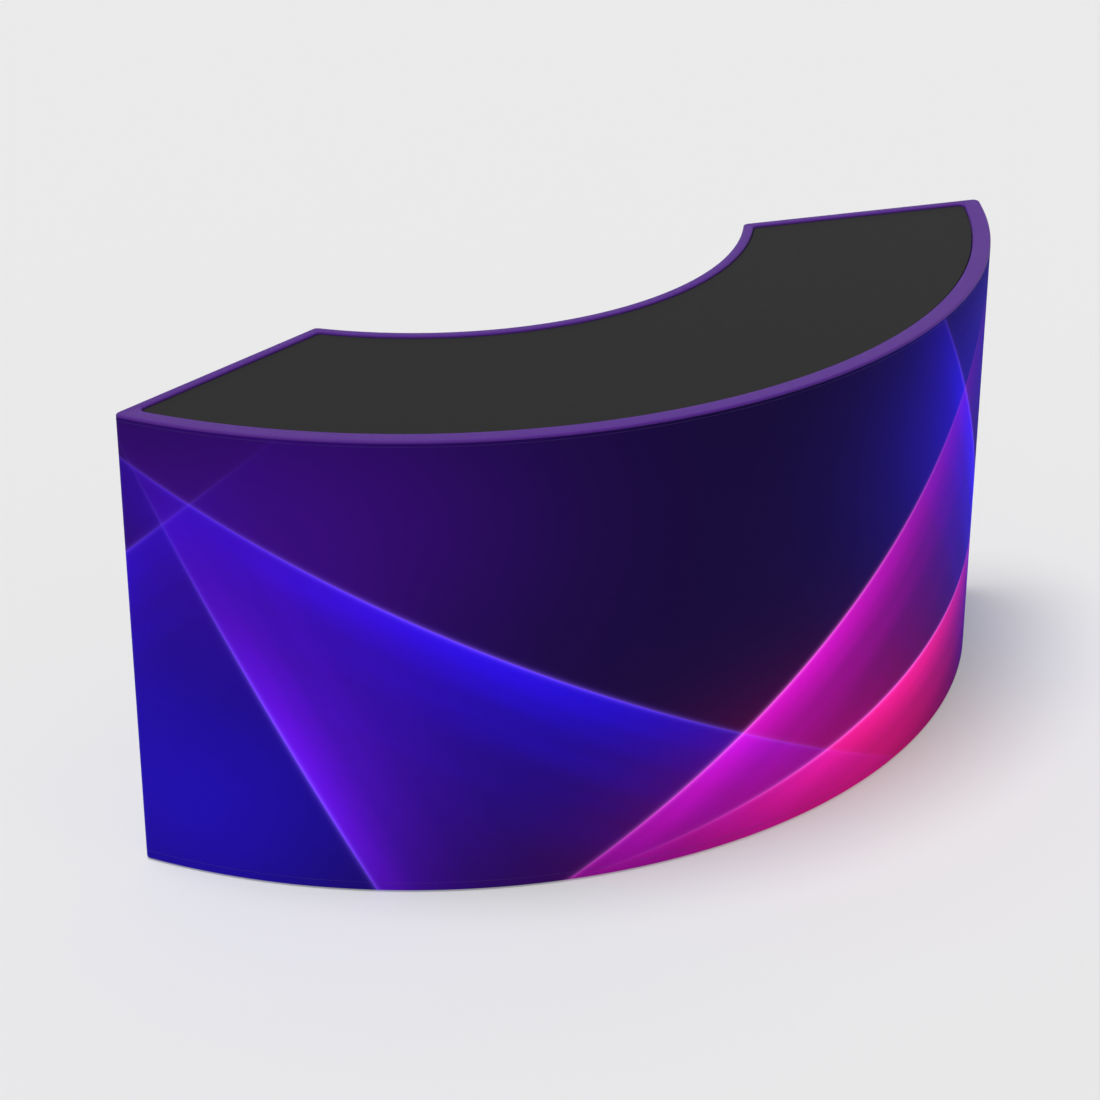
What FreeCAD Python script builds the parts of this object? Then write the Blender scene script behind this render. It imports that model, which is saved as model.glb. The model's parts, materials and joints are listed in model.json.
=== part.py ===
import FreeCAD, Part
import math
import os

from FreeCAD import Vector

# Backlit curved trade show counter: a tube frame under a stretched cover.
# Millimetres. +X runs along the counter to the visitor's right, +Y points from
# the visitors to the staff, +Z is up, and the floor is at Z = 0.
# Everything is drawn about the centre of the plan arcs and moved into place
# when it is written, so that the origin is the middle of the footprint.

# Overall sizes
HEIGHT = 1000.0
OUTER_RADIUS = 1270.0
INNER_RADIUS = 720.0
OUTER_HALF_ANGLE = 60.4
INNER_HALF_ANGLE = 50.4
CORNER_RADIUS = 14.0

# Cover
COVER_THICKNESS = 1.0
COVER_GROUND_GAP = 3.0
HEM_DEPTH = 16.0
SEAM_DROP = 5.0
BORDER_DROP = 17.0

# Rails of the two rings; the top ring is slimmer along its ends and its rear
RAIL_WIDTH = 38.0
SLIM_RAIL_WIDTH = 21.0
RAIL_HEIGHT = 30.0
RAIL_WALL = 2.0
RAIL_EDGE = 4.0
CORNER_LEG = 70.0
TEE_HALF_LENGTH = 45.0
SPIGOT_LENGTH = 45.0
SPIGOT_CLEARANCE = 0.3

# Uprights, their stubs and their snap buttons
UPRIGHT_RADIUS = 15.0
UPRIGHT_WALL = 2.0
STUB_LENGTH = 60.0
STUB_CLEARANCE = 0.3
BUTTON_RADIUS = 4.0
BUTTON_CLEARANCE = 0.08
BUTTON_HOLE_CLEARANCE = 0.3
BUTTON_PROUD = 2.5
BUTTON_LENGTH = 15.5
BUTTON_EDGE = 1.5
SPRING_LENGTH = 11.0
SPRING_RADIUS = 2.8
SPRING_WIRE_RADIUS = 0.4
SPRING_TURNS = 5
SPRING_END_GAP = 0.1

# Levelling feet
FOOT_RADIUS = 14.0
FOOT_PAD_HEIGHT = 12.0
FOOT_POCKET_CLEARANCE = 0.6
FOOT_STEM_RADIUS = 5.0
FOOT_STEM_LENGTH = 34.0
FOOT_STEM_CLEARANCE = 0.08
FOOT_EDGE = 1.5

# Counter top and what carries it
TOP_THICKNESS = 12.0
TOP_RECESS = 4.0
TOP_SIDE_GAP = 2.0
TOP_CORNER_RADIUS = 12.0
TOP_EDGE = 1.0
PAD_THICKNESS = 2.0
PAD_SIZE = 34.0
PAD_END_GAP = 60.0
BRACE_WIDTH = 40.0
BRACE_ANGLES = {"left_end": -39.0, "left_middle": -14.0, "right_middle": 14.0, "right_end": 39.0}
PLATE_WIDTH = 36.0
PLATE_THICKNESS = 3.0
PLATE_ON_RAIL = 16.0
PLATE_ON_BRACE = 48.0
SCREW_RADIUS = 2.5
SCREW_HEAD_RADIUS = 4.5
SCREW_HEAD_HEIGHT = 3.0
SCREW_LENGTH = 11.0
SCREW_CLEARANCE = 0.1
SCREW_ON_RAIL = 10.0
SCREW_ON_BRACE = 26.0

# Light strips on the bottom ring
STRIP_WIDTH = 12.0
STRIP_THICKNESS = 2.0
STRIP_FROM_COVER = 6.0
STRIP_END_GAP = 12.0
LENS_RADIUS = 5.0
LENS_HEIGHT = 5.0
LENS_EDGE = 3.0
LENSES_PER_STRIP = 12

# Zip in the rear panel
ZIP_ANGLE = -38.0
ZIP_BOTTOM_GAP = 16.0
ZIP_TOP_GAP = 19.0
ZIP_SLOT_HALF = 14.0
TAPE_THICKNESS = 0.8
TAPE_LAP = 8.0
CHAIN_GAP_HALF = 0.8
CHAIN_WIDTH = 2.5
CHAIN_PROUD = 0.8
STOP_LENGTH = 3.0
STOP_PROUD = 0.8
SLIDER_LENGTH = 18.0
SLIDER_HALF_WIDTH = 5.5
SLIDER_PLATE = 2.0
SLIDER_CLEARANCE = 0.3
SLIDER_END_GAP = 4.0
BRIDGE_HALF = 0.5
BRIDGE_LENGTH = 6.0
EAR_GAP_HALF = 2.6
EAR_THICKNESS = 1.5
EAR_RADIUS = 2.4
PULL_PIN_RADIUS = 1.0
PULL_PIN_CLEARANCE = 0.05
PULL_BARREL_RADIUS = 1.9
PULL_SIDE_CLEARANCE = 0.3
PULL_LENGTH = 42.0
PULL_HALF_WIDTH = 6.0
PULL_NECK = 5.0
PULL_THICKNESS = 1.6
PULL_EYE_RADIUS = 3.0
PULL_EYE_FROM_TIP = 8.0

# Power unit at the middle of the rear
POWER_WIDTH = 92.0
POWER_DEPTH = 60.0
POWER_HEIGHT = 60.0
POWER_WALL = 2.5
POWER_SCREW_SPREAD = 60.0
BEZEL_MARGIN = 5.0
BEZEL_THICKNESS = 3.0
WINDOW_MARGIN = 9.0
CURVE_GAP = 0.3
SOCKET_CENTRE = 16.0
SOCKET_HALF_WIDTH = 15.0
SOCKET_HALF_HEIGHT = 11.5
SOCKET_DEPTH = 24.0
SOCKET_WALL = 3.0
SOCKET_FLANGE = 3.0
SOCKET_FLANGE_THICKNESS = 2.0
PIN_LENGTH = 9.0
PIN_WIDTH = 4.0
PIN_THICKNESS = 2.0
PIN_SPREAD = 7.0
PIN_RISE = 3.0
FIT_CLEARANCE = 0.3
SWITCH_CENTRE = -24.0
ROCKER_HALF_WIDTH = 6.0
ROCKER_HALF_HEIGHT = 8.5
ROCKER_FRONT = 8.0
ROCKER_DISH = 1.5
ROCKER_BACK = 4.0
ROCKER_TILT = 10.0
ROCKER_PIVOT_DEPTH = 4.0
ROCKER_PIN_RADIUS = 1.5
ROCKER_PIN_CLEARANCE = 0.08
ROCKER_PIN_LENGTH = 1.6
WELL_WALL = 2.2

# Heights that follow
BOTTOM_RING_LOW = COVER_GROUND_GAP + COVER_THICKNESS
BOTTOM_RING_HIGH = BOTTOM_RING_LOW + RAIL_HEIGHT
TOP_RING_HIGH = HEIGHT - COVER_THICKNESS
TOP_RING_LOW = TOP_RING_HIGH - RAIL_HEIGHT
SEAM_HEIGHT = HEIGHT - SEAM_DROP
TOP_FACE = HEIGHT - TOP_RECESS
TOP_UNDERSIDE = TOP_FACE - TOP_THICKNESS
BRACE_TOP = TOP_UNDERSIDE - PAD_THICKNESS
BUTTON_HEIGHT = TOP_RING_LOW - STUB_LENGTH / 2
ZIP_BOTTOM = BOTTOM_RING_HIGH + ZIP_BOTTOM_GAP
ZIP_TOP = TOP_RING_LOW - ZIP_TOP_GAP

# Offsets inward from the cover's outer face that follow
RAIL_OUTSIDE = COVER_THICKNESS
RAIL_INSIDE = RAIL_OUTSIDE + RAIL_WIDTH
RAIL_MIDDLE = RAIL_OUTSIDE + RAIL_WIDTH / 2
SLIMMER = RAIL_WIDTH - SLIM_RAIL_WIDTH
BORDER_INSIDE = RAIL_INSIDE + COVER_THICKNESS
TOP_EDGE_OFFSET = BORDER_INSIDE + TOP_SIDE_GAP

# A depth that is larger than any cut needs
BEYOND = 50.0

UP = Vector(0, 0, 1)
CENTRE = Vector(0, 0, 0)


def plan_point(radius, angle):
    """Point at that radius; the angle is in degrees from the middle of the front, positive towards +X."""
    turn = math.radians(angle)
    return Vector(radius * math.sin(turn), -radius * math.cos(turn), 0)


def plan_angle(point):
    return math.degrees(math.atan2(point.x, -point.y))


def arc_degrees(length, radius):
    return math.degrees(length / radius)


def mirrored(point):
    return Vector(-point.x, point.y, point.z)


FRONT_CORNER = plan_point(OUTER_RADIUS, OUTER_HALF_ANGLE)
REAR_CORNER = plan_point(INNER_RADIUS, INNER_HALF_ANGLE)
END_DIRECTION = (REAR_CORNER - FRONT_CORNER).normalize()
END_NORMAL = Vector(END_DIRECTION.y, -END_DIRECTION.x, 0)


def end_crossing(offset, radius):
    """Where the right-hand end line, moved inward by offset, crosses the circle of that radius."""
    start = FRONT_CORNER - END_NORMAL * offset
    along = start.dot(END_DIRECTION)
    reach = math.sqrt(along**2 - start.dot(start) + radius**2)
    return start - END_DIRECTION * (along + reach)


def front_corner(offset, slimmer=0.0):
    """Where the front meets the right-hand end, both moved inward by offset, the end by slimmer less."""
    return end_crossing(offset - slimmer, OUTER_RADIUS - offset)


def rear_corner(offset, slimmer=0.0):
    """Where the rear meets the right-hand end, both moved inward by offset less slimmer."""
    return end_crossing(offset - slimmer, INNER_RADIUS + offset - slimmer)


def outer_rounding(offset):
    """Plan radius of a loop's corners where the loop follows the outside of the cover."""
    return CORNER_RADIUS - offset


def inner_rounding(offset):
    """Plan radius of a loop's corners where the loop follows the edge of the counter top."""
    return TOP_CORNER_RADIUS + TOP_EDGE_OFFSET - offset


def slab(offset, low, high, rounding, slimmer=0.0):
    """The footprint moved inward by offset, as a plate from low to high with rounded upright corners.

    The ends and the rear are moved inward by slimmer less than the front.
    """
    right_front = front_corner(offset, slimmer)
    right_rear = rear_corner(offset, slimmer)
    left_front = mirrored(right_front)
    left_rear = mirrored(right_rear)
    front_middle = plan_point(OUTER_RADIUS - offset, 0)
    rear_middle = plan_point(INNER_RADIUS + offset - slimmer, 0)
    edges = [
        Part.Arc(left_front, front_middle, right_front).toShape(),
        Part.LineSegment(right_front, right_rear).toShape(),
        Part.Arc(right_rear, rear_middle, left_rear).toShape(),
        Part.LineSegment(left_rear, left_front).toShape(),
    ]
    plate = Part.Face(Part.Wire(edges)).extrude(UP * (high - low))
    plate.translate(UP * low)
    upright = [e for e in plate.Edges if abs(e.tangentAt(e.FirstParameter).z) > 0.99]
    return plate.makeFillet(rounding, upright)


def flat_edges(shape, height):
    return [e for e in shape.Edges if all(abs(v.Z - height) < 1e-6 for v in e.Vertexes)]


def loop(outside, inside, low, high, edge=0.0, slimmer=0.0):
    """A closed band between two offsets of the footprint, with its long edges rounded by edge.

    The band is narrower by slimmer along the ends and the rear.
    """
    band = slab(outside, low, high, outer_rounding(outside)).cut(
        slab(inside, low - BEYOND, high + BEYOND, inner_rounding(inside), slimmer)
    )
    if edge > 0:
        band = band.makeFillet(edge, flat_edges(band, low) + flat_edges(band, high))
    return band


def sector(inner, outer, start, stop, low, high):
    """Part of an upright ring between two radii and two angles."""
    corners = [(inner, low), (outer, low), (outer, high), (inner, high), (inner, low)]
    section = [plan_point(radius, start) + UP * height for radius, height in corners]
    face = Part.Face(Part.makePolygon(section))
    return face.revolve(CENTRE, UP, stop - start)


def prism(points, low, high):
    closed = [point + UP * low for point in points + points[:1]]
    return Part.Face(Part.makePolygon(closed)).extrude(UP * (high - low))


def rear_box(angle, left, right, outer, inner, low, high):
    """A box at that angle of the rear, from left to right along the wall and from outer to inner in depth.

    Depth is measured from the outer face of the rear panel into the counter.
    """
    size = (right - left, inner - outer, high - low)
    corner = Vector(left, -(INNER_RADIUS + inner), low)
    return Part.makeBox(*size, corner).rotated(CENTRE, UP, angle)


def rear_arc(angle, left, right, outer, inner, low, high):
    """As rear_box, but bent to the curve of the rear wall."""
    start = angle + arc_degrees(left, INNER_RADIUS)
    stop = angle + arc_degrees(right, INNER_RADIUS)
    return sector(INNER_RADIUS + outer, INNER_RADIUS + inner, start, stop, low, high)


def rear_pin(angle, radius, half_length, depth, height):
    """A pin along the rear wall at that angle, depth and height."""
    start = Vector(-half_length, -(INNER_RADIUS + depth), height)
    return Part.makeCylinder(radius, 2 * half_length, start, Vector(1, 0, 0)).rotated(CENTRE, UP, angle)


def rounded_cylinder(radius, length, start, direction, edge):
    """A cylinder whose far rim is rounded."""
    body = Part.makeCylinder(radius, length, start, direction)
    far = start + direction * length
    rim = [e for e in body.Edges if e.Closed and e.CenterOfMass.distanceToPoint(far) < edge]
    return body.makeFillet(edge, rim)


# Plan layout of the rings: where rails end and connectors begin
FRONT_POST = front_corner(RAIL_MIDDLE)
REAR_POST = rear_corner(RAIL_MIDDLE)
OUTER_RAIL_RADIUS = OUTER_RADIUS - RAIL_MIDDLE
INNER_RAIL_RADIUS = INNER_RADIUS + RAIL_MIDDLE
OUTER_RAIL_END = plan_angle(FRONT_POST) - arc_degrees(CORNER_LEG, OUTER_RAIL_RADIUS)
INNER_RAIL_END = plan_angle(REAR_POST) - arc_degrees(CORNER_LEG, INNER_RAIL_RADIUS)
TEE_END = arc_degrees(TEE_HALF_LENGTH, OUTER_RAIL_RADIUS)
END_LENGTH = FRONT_POST.distanceToPoint(REAR_POST)

POSTS = {
    "front_left": mirrored(FRONT_POST),
    "front_centre": plan_point(OUTER_RAIL_RADIUS, 0),
    "front_right": FRONT_POST,
    "rear_left": mirrored(REAR_POST),
    "rear_right": REAR_POST,
}

# Each rail: which side of the ring it lies on, and where it starts and stops there
RAIL_SPANS = {
    "outer_rail_left": ("outer", -OUTER_RAIL_END, -TEE_END),
    "outer_rail_right": ("outer", TEE_END, OUTER_RAIL_END),
    "inner_rail": ("inner", -INNER_RAIL_END, INNER_RAIL_END),
    "end_rail_left": ("left", CORNER_LEG, END_LENGTH - CORNER_LEG),
    "end_rail_right": ("right", CORNER_LEG, END_LENGTH - CORNER_LEG),
}
SIDE_RADIUS = {"outer": OUTER_RAIL_RADIUS, "inner": INNER_RAIL_RADIUS}


def span_block(side, start, stop):
    """A block that holds all of the ring between two places along one side."""
    low = -BEYOND
    high = RAIL_HEIGHT + BEYOND
    if side in SIDE_RADIUS:
        radius = SIDE_RADIUS[side]
        return sector(radius - RAIL_WIDTH, radius + RAIL_WIDTH, start, stop, low, high)
    points = []
    for place, reach in ((start, RAIL_WIDTH), (stop, RAIL_WIDTH), (stop, -RAIL_WIDTH), (start, -RAIL_WIDTH)):
        points.append(FRONT_POST + END_DIRECTION * place + END_NORMAL * reach)
    if side == "left":
        points = [mirrored(point) for point in points]
    return prism(points, low, high)


def spigot_blocks():
    """Blocks at both ends of every rail, as long as the spigots that plug into it."""
    blocks = []
    for side, start, stop in RAIL_SPANS.values():
        length = SPIGOT_LENGTH
        if side in SIDE_RADIUS:
            length = arc_degrees(SPIGOT_LENGTH, SIDE_RADIUS[side])
        blocks.append(span_block(side, start, start + length))
        blocks.append(span_block(side, stop - length, stop))
    return blocks


def rail_loop(inset, slimmer):
    """The rails' section, shrunk all round by inset, swept round a whole ring that stands at height 0."""
    high = RAIL_HEIGHT - inset
    return loop(RAIL_OUTSIDE + inset, RAIL_INSIDE - inset, inset, high, RAIL_EDGE - inset, slimmer)


# Both rings have these blocks in place of their rails
RAIL_BLOCKS = {name: span_block(*span) for name, span in RAIL_SPANS.items()}


def ring_rails(slimmer):
    """The hollow rails of a ring that stands at height 0, by name."""
    tube = rail_loop(0, slimmer).cut(rail_loop(RAIL_WALL, slimmer))
    return {name: tube.common(block) for name, block in RAIL_BLOCKS.items()}


def ring_joints(slimmer):
    """The cast blocks between the rails of a ring at height 0, with their spigots, by post."""
    core = rail_loop(RAIL_WALL + SPIGOT_CLEARANCE, slimmer)
    pieces = rail_loop(0, slimmer).cut(list(RAIL_BLOCKS.values())).Solids
    for block in spigot_blocks():
        pieces.extend(core.common(block).Solids)
    joined = pieces[0].multiFuse(pieces[1:]).removeSplitter().Solids
    by_post = {}
    for name, post in POSTS.items():
        middle = post + UP * RAIL_HEIGHT / 2
        by_post[name] = next(solid for solid in joined if solid.isInside(middle, 0.01, True))
    return by_post


def stub(post, low, high):
    """The round post of a connector that an upright slides over."""
    return Part.makeCylinder(UPRIGHT_RADIUS - UPRIGHT_WALL - STUB_CLEARANCE, high - low, post + UP * low)


def inward(post):
    """Level direction from a post into the counter."""
    towards_centre = Vector(-post.x, -post.y, 0).normalize()
    between = (OUTER_RADIUS + INNER_RADIUS) / 2
    return towards_centre if post.Length > between else towards_centre * -1


def button_start(post):
    reach = UPRIGHT_RADIUS + BUTTON_PROUD - BUTTON_LENGTH
    return post + UP * BUTTON_HEIGHT + inward(post) * reach


def snap_button(post):
    return rounded_cylinder(BUTTON_RADIUS, BUTTON_LENGTH, button_start(post), inward(post), BUTTON_EDGE)


def button_bore(post):
    """The blind bore in the stub that holds the button and its spring."""
    start = button_start(post) - inward(post) * SPRING_LENGTH
    return Part.makeCylinder(BUTTON_RADIUS + BUTTON_CLEARANCE, BUTTON_LENGTH + BEYOND, start, inward(post))


def button_hole(post):
    """The hole in the upright that the button snaps into."""
    radius = BUTTON_RADIUS + BUTTON_HOLE_CLEARANCE
    return Part.makeCylinder(radius, UPRIGHT_RADIUS + BEYOND, post + UP * BUTTON_HEIGHT, inward(post))


def button_spring(post):
    """The coil spring behind a button, from the end of the bore to the button's back."""
    coil_length = SPRING_LENGTH - 2 * SPRING_WIRE_RADIUS - 2 * SPRING_END_GAP
    path = Part.makeHelix(coil_length / SPRING_TURNS, coil_length, SPRING_RADIUS)
    section = Part.Circle(Vector(SPRING_RADIUS, 0, 0), Vector(0, 1, 0), SPRING_WIRE_RADIUS).toShape()
    coil = Part.Wire(path).makePipeShell([Part.Wire(section)], True, True)
    direction = inward(post)
    back = button_start(post) - direction * (SPRING_LENGTH - SPRING_WIRE_RADIUS - SPRING_END_GAP)
    coil.Placement = FreeCAD.Placement(back, FreeCAD.Rotation(UP, direction))
    return coil


def upright(post):
    length = TOP_RING_LOW - BOTTOM_RING_HIGH
    base = post + UP * BOTTOM_RING_HIGH
    tube = Part.makeCylinder(UPRIGHT_RADIUS, length, base)
    tube = tube.cut(Part.makeCylinder(UPRIGHT_RADIUS - UPRIGHT_WALL, length, base))
    return tube.cut(button_hole(post))


def foot(post):
    """A levelling foot: a round pad under its stem."""
    pad = rounded_cylinder(FOOT_RADIUS, FOOT_PAD_HEIGHT, post + UP * FOOT_PAD_HEIGHT, UP * -1, FOOT_EDGE)
    stem = Part.makeCylinder(FOOT_STEM_RADIUS, FOOT_STEM_LENGTH, post + UP * FOOT_PAD_HEIGHT)
    return pad.fuse(stem).removeSplitter()


def foot_bore(post):
    """The pocket for a foot's pad and the bore for its stem."""
    pocket = Part.makeCylinder(FOOT_RADIUS + FOOT_POCKET_CLEARANCE, FOOT_PAD_HEIGHT, post)
    depth = FOOT_STEM_LENGTH + FOOT_STEM_RADIUS / 2
    bore = Part.makeCylinder(FOOT_STEM_RADIUS + FOOT_STEM_CLEARANCE, depth, post + UP * FOOT_PAD_HEIGHT)
    return pocket.fuse(bore)


def radial_box(angle, start, stop, width, low, high):
    """A box along a radius of the plan."""
    corner = Vector(-width / 2, -stop, low)
    return Part.makeBox(width, stop - start, high - low, corner).rotated(CENTRE, UP, angle)


# Radii of the top rails' inner walls, where the braces end
BRACE_START = INNER_RADIUS + RAIL_INSIDE - SLIMMER
BRACE_STOP = OUTER_RADIUS - RAIL_INSIDE


def screw_places(angle):
    """Plan points of the screws at both ends of a brace."""
    radii = (
        BRACE_START - SCREW_ON_RAIL,
        BRACE_START + SCREW_ON_BRACE,
        BRACE_STOP - SCREW_ON_BRACE,
        BRACE_STOP + SCREW_ON_RAIL,
    )
    return [plan_point(radius, angle) for radius in radii]


def screw(place, seat, direction):
    """A pan-head screw whose head sits on the seat's height and whose shank runs along direction."""
    start = place + UP * seat
    shank = Part.makeCylinder(SCREW_RADIUS, SCREW_LENGTH, start, direction)
    head_edge = SCREW_HEAD_HEIGHT / 2
    head = rounded_cylinder(SCREW_HEAD_RADIUS, SCREW_HEAD_HEIGHT, start, direction * -1, head_edge)
    return shank.fuse(head).removeSplitter()


def screw_hole(place, seat, direction):
    return Part.makeCylinder(SCREW_RADIUS + SCREW_CLEARANCE, SCREW_LENGTH, place + UP * seat, direction)


PLATE_SEAT = TOP_RING_LOW - PLATE_THICKNESS
BRACE_SCREWS = [place for angle in BRACE_ANGLES.values() for place in screw_places(angle)]
BRACE_SCREW_HOLES = [screw_hole(place, PLATE_SEAT, UP) for place in BRACE_SCREWS]


def brace(angle):
    """A flat bar from the outer rail to the inner rail, under the counter top."""
    bar = radial_box(angle, BRACE_START - BEYOND, BRACE_STOP + BEYOND, BRACE_WIDTH, TOP_RING_LOW, BRACE_TOP)
    reach = arc_degrees(BRACE_WIDTH, BRACE_START)
    between = sector(BRACE_START, BRACE_STOP, angle - reach, angle + reach, TOP_RING_LOW, BRACE_TOP)
    return bar.common(between).cut(BRACE_SCREW_HOLES)


def brace_plates():
    """The joining plates under both ends of every brace."""
    plates = []
    for angle in BRACE_ANGLES.values():
        spans = (
            (BRACE_START - PLATE_ON_RAIL, BRACE_START + PLATE_ON_BRACE),
            (BRACE_STOP - PLATE_ON_BRACE, BRACE_STOP + PLATE_ON_RAIL),
        )
        for start, stop in spans:
            plate = radial_box(angle, start, stop, PLATE_WIDTH, PLATE_SEAT, TOP_RING_LOW)
            plates.append(plate.cut(BRACE_SCREW_HOLES))
    return plates


def top_pads():
    """Soft pads near both ends of every brace, which carry the counter top."""
    pads = []
    for angle in BRACE_ANGLES.values():
        first = BRACE_START + PAD_END_GAP
        last = BRACE_STOP - PAD_END_GAP
        for start in (first, last - PAD_SIZE):
            pads.append(radial_box(angle, start, start + PAD_SIZE, PAD_SIZE, BRACE_TOP, TOP_UNDERSIDE))
    return pads


def counter_top():
    panel = slab(TOP_EDGE_OFFSET, TOP_UNDERSIDE, TOP_FACE, TOP_CORNER_RADIUS, SLIMMER)
    return panel.makeFillet(TOP_EDGE, flat_edges(panel, TOP_FACE))


def top_border():
    """The plain border of the cover, over the top ring from the seam to the edge of the counter top."""
    low = HEIGHT - BORDER_DROP
    band = loop(0, BORDER_INSIDE, low, HEIGHT, slimmer=SLIMMER)
    band = band.makeFillet(RAIL_EDGE + COVER_THICKNESS, flat_edges(band, HEIGHT))
    rails = rail_loop(0, SLIMMER).translated(UP * TOP_RING_LOW)
    inside = slab(RAIL_OUTSIDE, low - BEYOND, SEAM_HEIGHT, outer_rounding(RAIL_OUTSIDE))
    outside = slab(-BEYOND, low - BEYOND, SEAM_HEIGHT, CORNER_RADIUS)
    return band.cut([rails, outside.cut(inside)])


def cover_panels():
    """The cover's front, left end, right end and rear, with their hems under the bottom ring."""
    wall_inside = slab(COVER_THICKNESS, BOTTOM_RING_LOW, HEIGHT, outer_rounding(COVER_THICKNESS))
    hem_inside = slab(HEM_DEPTH, 0, HEIGHT, inner_rounding(HEM_DEPTH))
    skin = slab(0, COVER_GROUND_GAP, SEAM_HEIGHT, CORNER_RADIUS).cut([wall_inside, hem_inside])
    around_foot = FOOT_RADIUS + 2 * FOOT_POCKET_CLEARANCE
    skin = skin.cut([Part.makeCylinder(around_foot, BOTTOM_RING_LOW, post) for post in POSTS.values()])
    right = [front_corner(-BEYOND), front_corner(BEYOND), rear_corner(BEYOND), rear_corner(-BEYOND)]
    left = [mirrored(point) for point in right]
    ends = {"left": prism(left, 0, HEIGHT), "right": prism(right, 0, HEIGHT)}
    rest = skin.cut(list(ends.values())).Solids
    front, rear = sorted(rest, key=lambda panel: panel.CenterOfMass.y)
    return front, skin.common(ends["left"]), skin.common(ends["right"]), rear


def zip_slot():
    return rear_arc(ZIP_ANGLE, -ZIP_SLOT_HALF, ZIP_SLOT_HALF, -BEYOND, BEYOND, ZIP_BOTTOM, ZIP_TOP)


TAPE_BACK = COVER_THICKNESS + TAPE_THICKNESS


def zip_tapes():
    """The two tapes, lapped behind the edges of the slot."""
    edge = ZIP_SLOT_HALF + TAPE_LAP
    low = ZIP_BOTTOM - TAPE_LAP
    high = ZIP_TOP + TAPE_LAP
    return [
        rear_arc(ZIP_ANGLE, -edge, -CHAIN_GAP_HALF, COVER_THICKNESS, TAPE_BACK, low, high),
        rear_arc(ZIP_ANGLE, CHAIN_GAP_HALF, edge, COVER_THICKNESS, TAPE_BACK, low, high),
    ]


def zip_chains():
    """The two rows of teeth as plain strips, with a stop across them at each end."""
    inside = CHAIN_GAP_HALF
    outside = CHAIN_GAP_HALF + CHAIN_WIDTH
    low = ZIP_BOTTOM + STOP_LENGTH
    high = ZIP_TOP - STOP_LENGTH
    stop_face = -CHAIN_PROUD - STOP_PROUD
    pieces = [
        rear_arc(ZIP_ANGLE, -outside, -inside, -CHAIN_PROUD, COVER_THICKNESS, low, high),
        rear_arc(ZIP_ANGLE, inside, outside, -CHAIN_PROUD, COVER_THICKNESS, low, high),
    ]
    for start, stop in ((ZIP_BOTTOM, low), (high, ZIP_TOP)):
        pieces.append(rear_arc(ZIP_ANGLE, -outside, outside, stop_face, COVER_THICKNESS, start, stop))
    return pieces


# The slider at the closed end of its travel
SLIDER_HIGH = ZIP_TOP - STOP_LENGTH - SLIDER_END_GAP
SLIDER_LOW = SLIDER_HIGH - SLIDER_LENGTH
SLIDER_FACE = -CHAIN_PROUD - SLIDER_CLEARANCE - SLIDER_PLATE
PULL_HEIGHT = SLIDER_LOW + SLIDER_LENGTH / 2
PULL_DEPTH = SLIDER_FACE - EAR_RADIUS


def zip_slider():
    """Two plates about the chain, the bridge between them, and the ears of the pull."""
    half = SLIDER_HALF_WIDTH
    outer = rear_box(ZIP_ANGLE, -half, half, SLIDER_FACE, SLIDER_FACE + SLIDER_PLATE, SLIDER_LOW, SLIDER_HIGH)
    back = TAPE_BACK + SLIDER_CLEARANCE
    inner = rear_box(ZIP_ANGLE, -half, half, back, back + SLIDER_PLATE, SLIDER_LOW, SLIDER_HIGH)
    bridge_low = SLIDER_HIGH - BRIDGE_LENGTH
    bridge = rear_box(ZIP_ANGLE, -BRIDGE_HALF, BRIDGE_HALF, SLIDER_FACE, back, bridge_low, SLIDER_HIGH)
    ear_outside = EAR_GAP_HALF + EAR_THICKNESS
    low = PULL_HEIGHT - EAR_RADIUS
    high = PULL_HEIGHT + EAR_RADIUS
    lug = rear_box(ZIP_ANGLE, -ear_outside, ear_outside, PULL_DEPTH, SLIDER_FACE, low, high)
    lug = lug.fuse(rear_pin(ZIP_ANGLE, EAR_RADIUS, ear_outside, PULL_DEPTH, PULL_HEIGHT))
    gap_outer = PULL_DEPTH - EAR_RADIUS
    gap = rear_box(ZIP_ANGLE, -EAR_GAP_HALF, EAR_GAP_HALF, gap_outer, SLIDER_FACE, low, high)
    hole = rear_pin(ZIP_ANGLE, PULL_PIN_RADIUS + PULL_PIN_CLEARANCE, ear_outside, PULL_DEPTH, PULL_HEIGHT)
    return outer.multiFuse([inner, bridge, lug.cut([gap, hole])]).removeSplitter()


def zip_pull():
    """The pull, hanging from its pin between the slider's ears."""
    pin = rear_pin(ZIP_ANGLE, PULL_PIN_RADIUS, EAR_GAP_HALF + EAR_THICKNESS, PULL_DEPTH, PULL_HEIGHT)
    neck_half = EAR_GAP_HALF - PULL_SIDE_CLEARANCE
    barrel = rear_pin(ZIP_ANGLE, PULL_BARREL_RADIUS, neck_half, PULL_DEPTH, PULL_HEIGHT)
    outer = PULL_DEPTH - PULL_THICKNESS / 2
    inner = PULL_DEPTH + PULL_THICKNESS / 2
    shoulder = PULL_HEIGHT - PULL_NECK
    tip = PULL_HEIGHT - PULL_LENGTH
    neck = rear_box(ZIP_ANGLE, -neck_half, neck_half, outer, inner, shoulder, PULL_HEIGHT)
    blade = rear_box(ZIP_ANGLE, -PULL_HALF_WIDTH, PULL_HALF_WIDTH, outer, inner, tip, shoulder)
    across = [e for e in blade.Edges if abs(e.Length - PULL_THICKNESS) < 1e-6]
    blade = blade.makeFillet(PULL_HALF_WIDTH / 2, across)
    eye_centre = plan_point(INNER_RADIUS, ZIP_ANGLE) + UP * (tip + PULL_EYE_FROM_TIP)
    outward = plan_point(-1, ZIP_ANGLE)
    eye = Part.makeCylinder(PULL_EYE_RADIUS, BEYOND, eye_centre, outward)
    return pin.multiFuse([barrel, neck, blade.cut(eye)]).removeSplitter()


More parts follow.
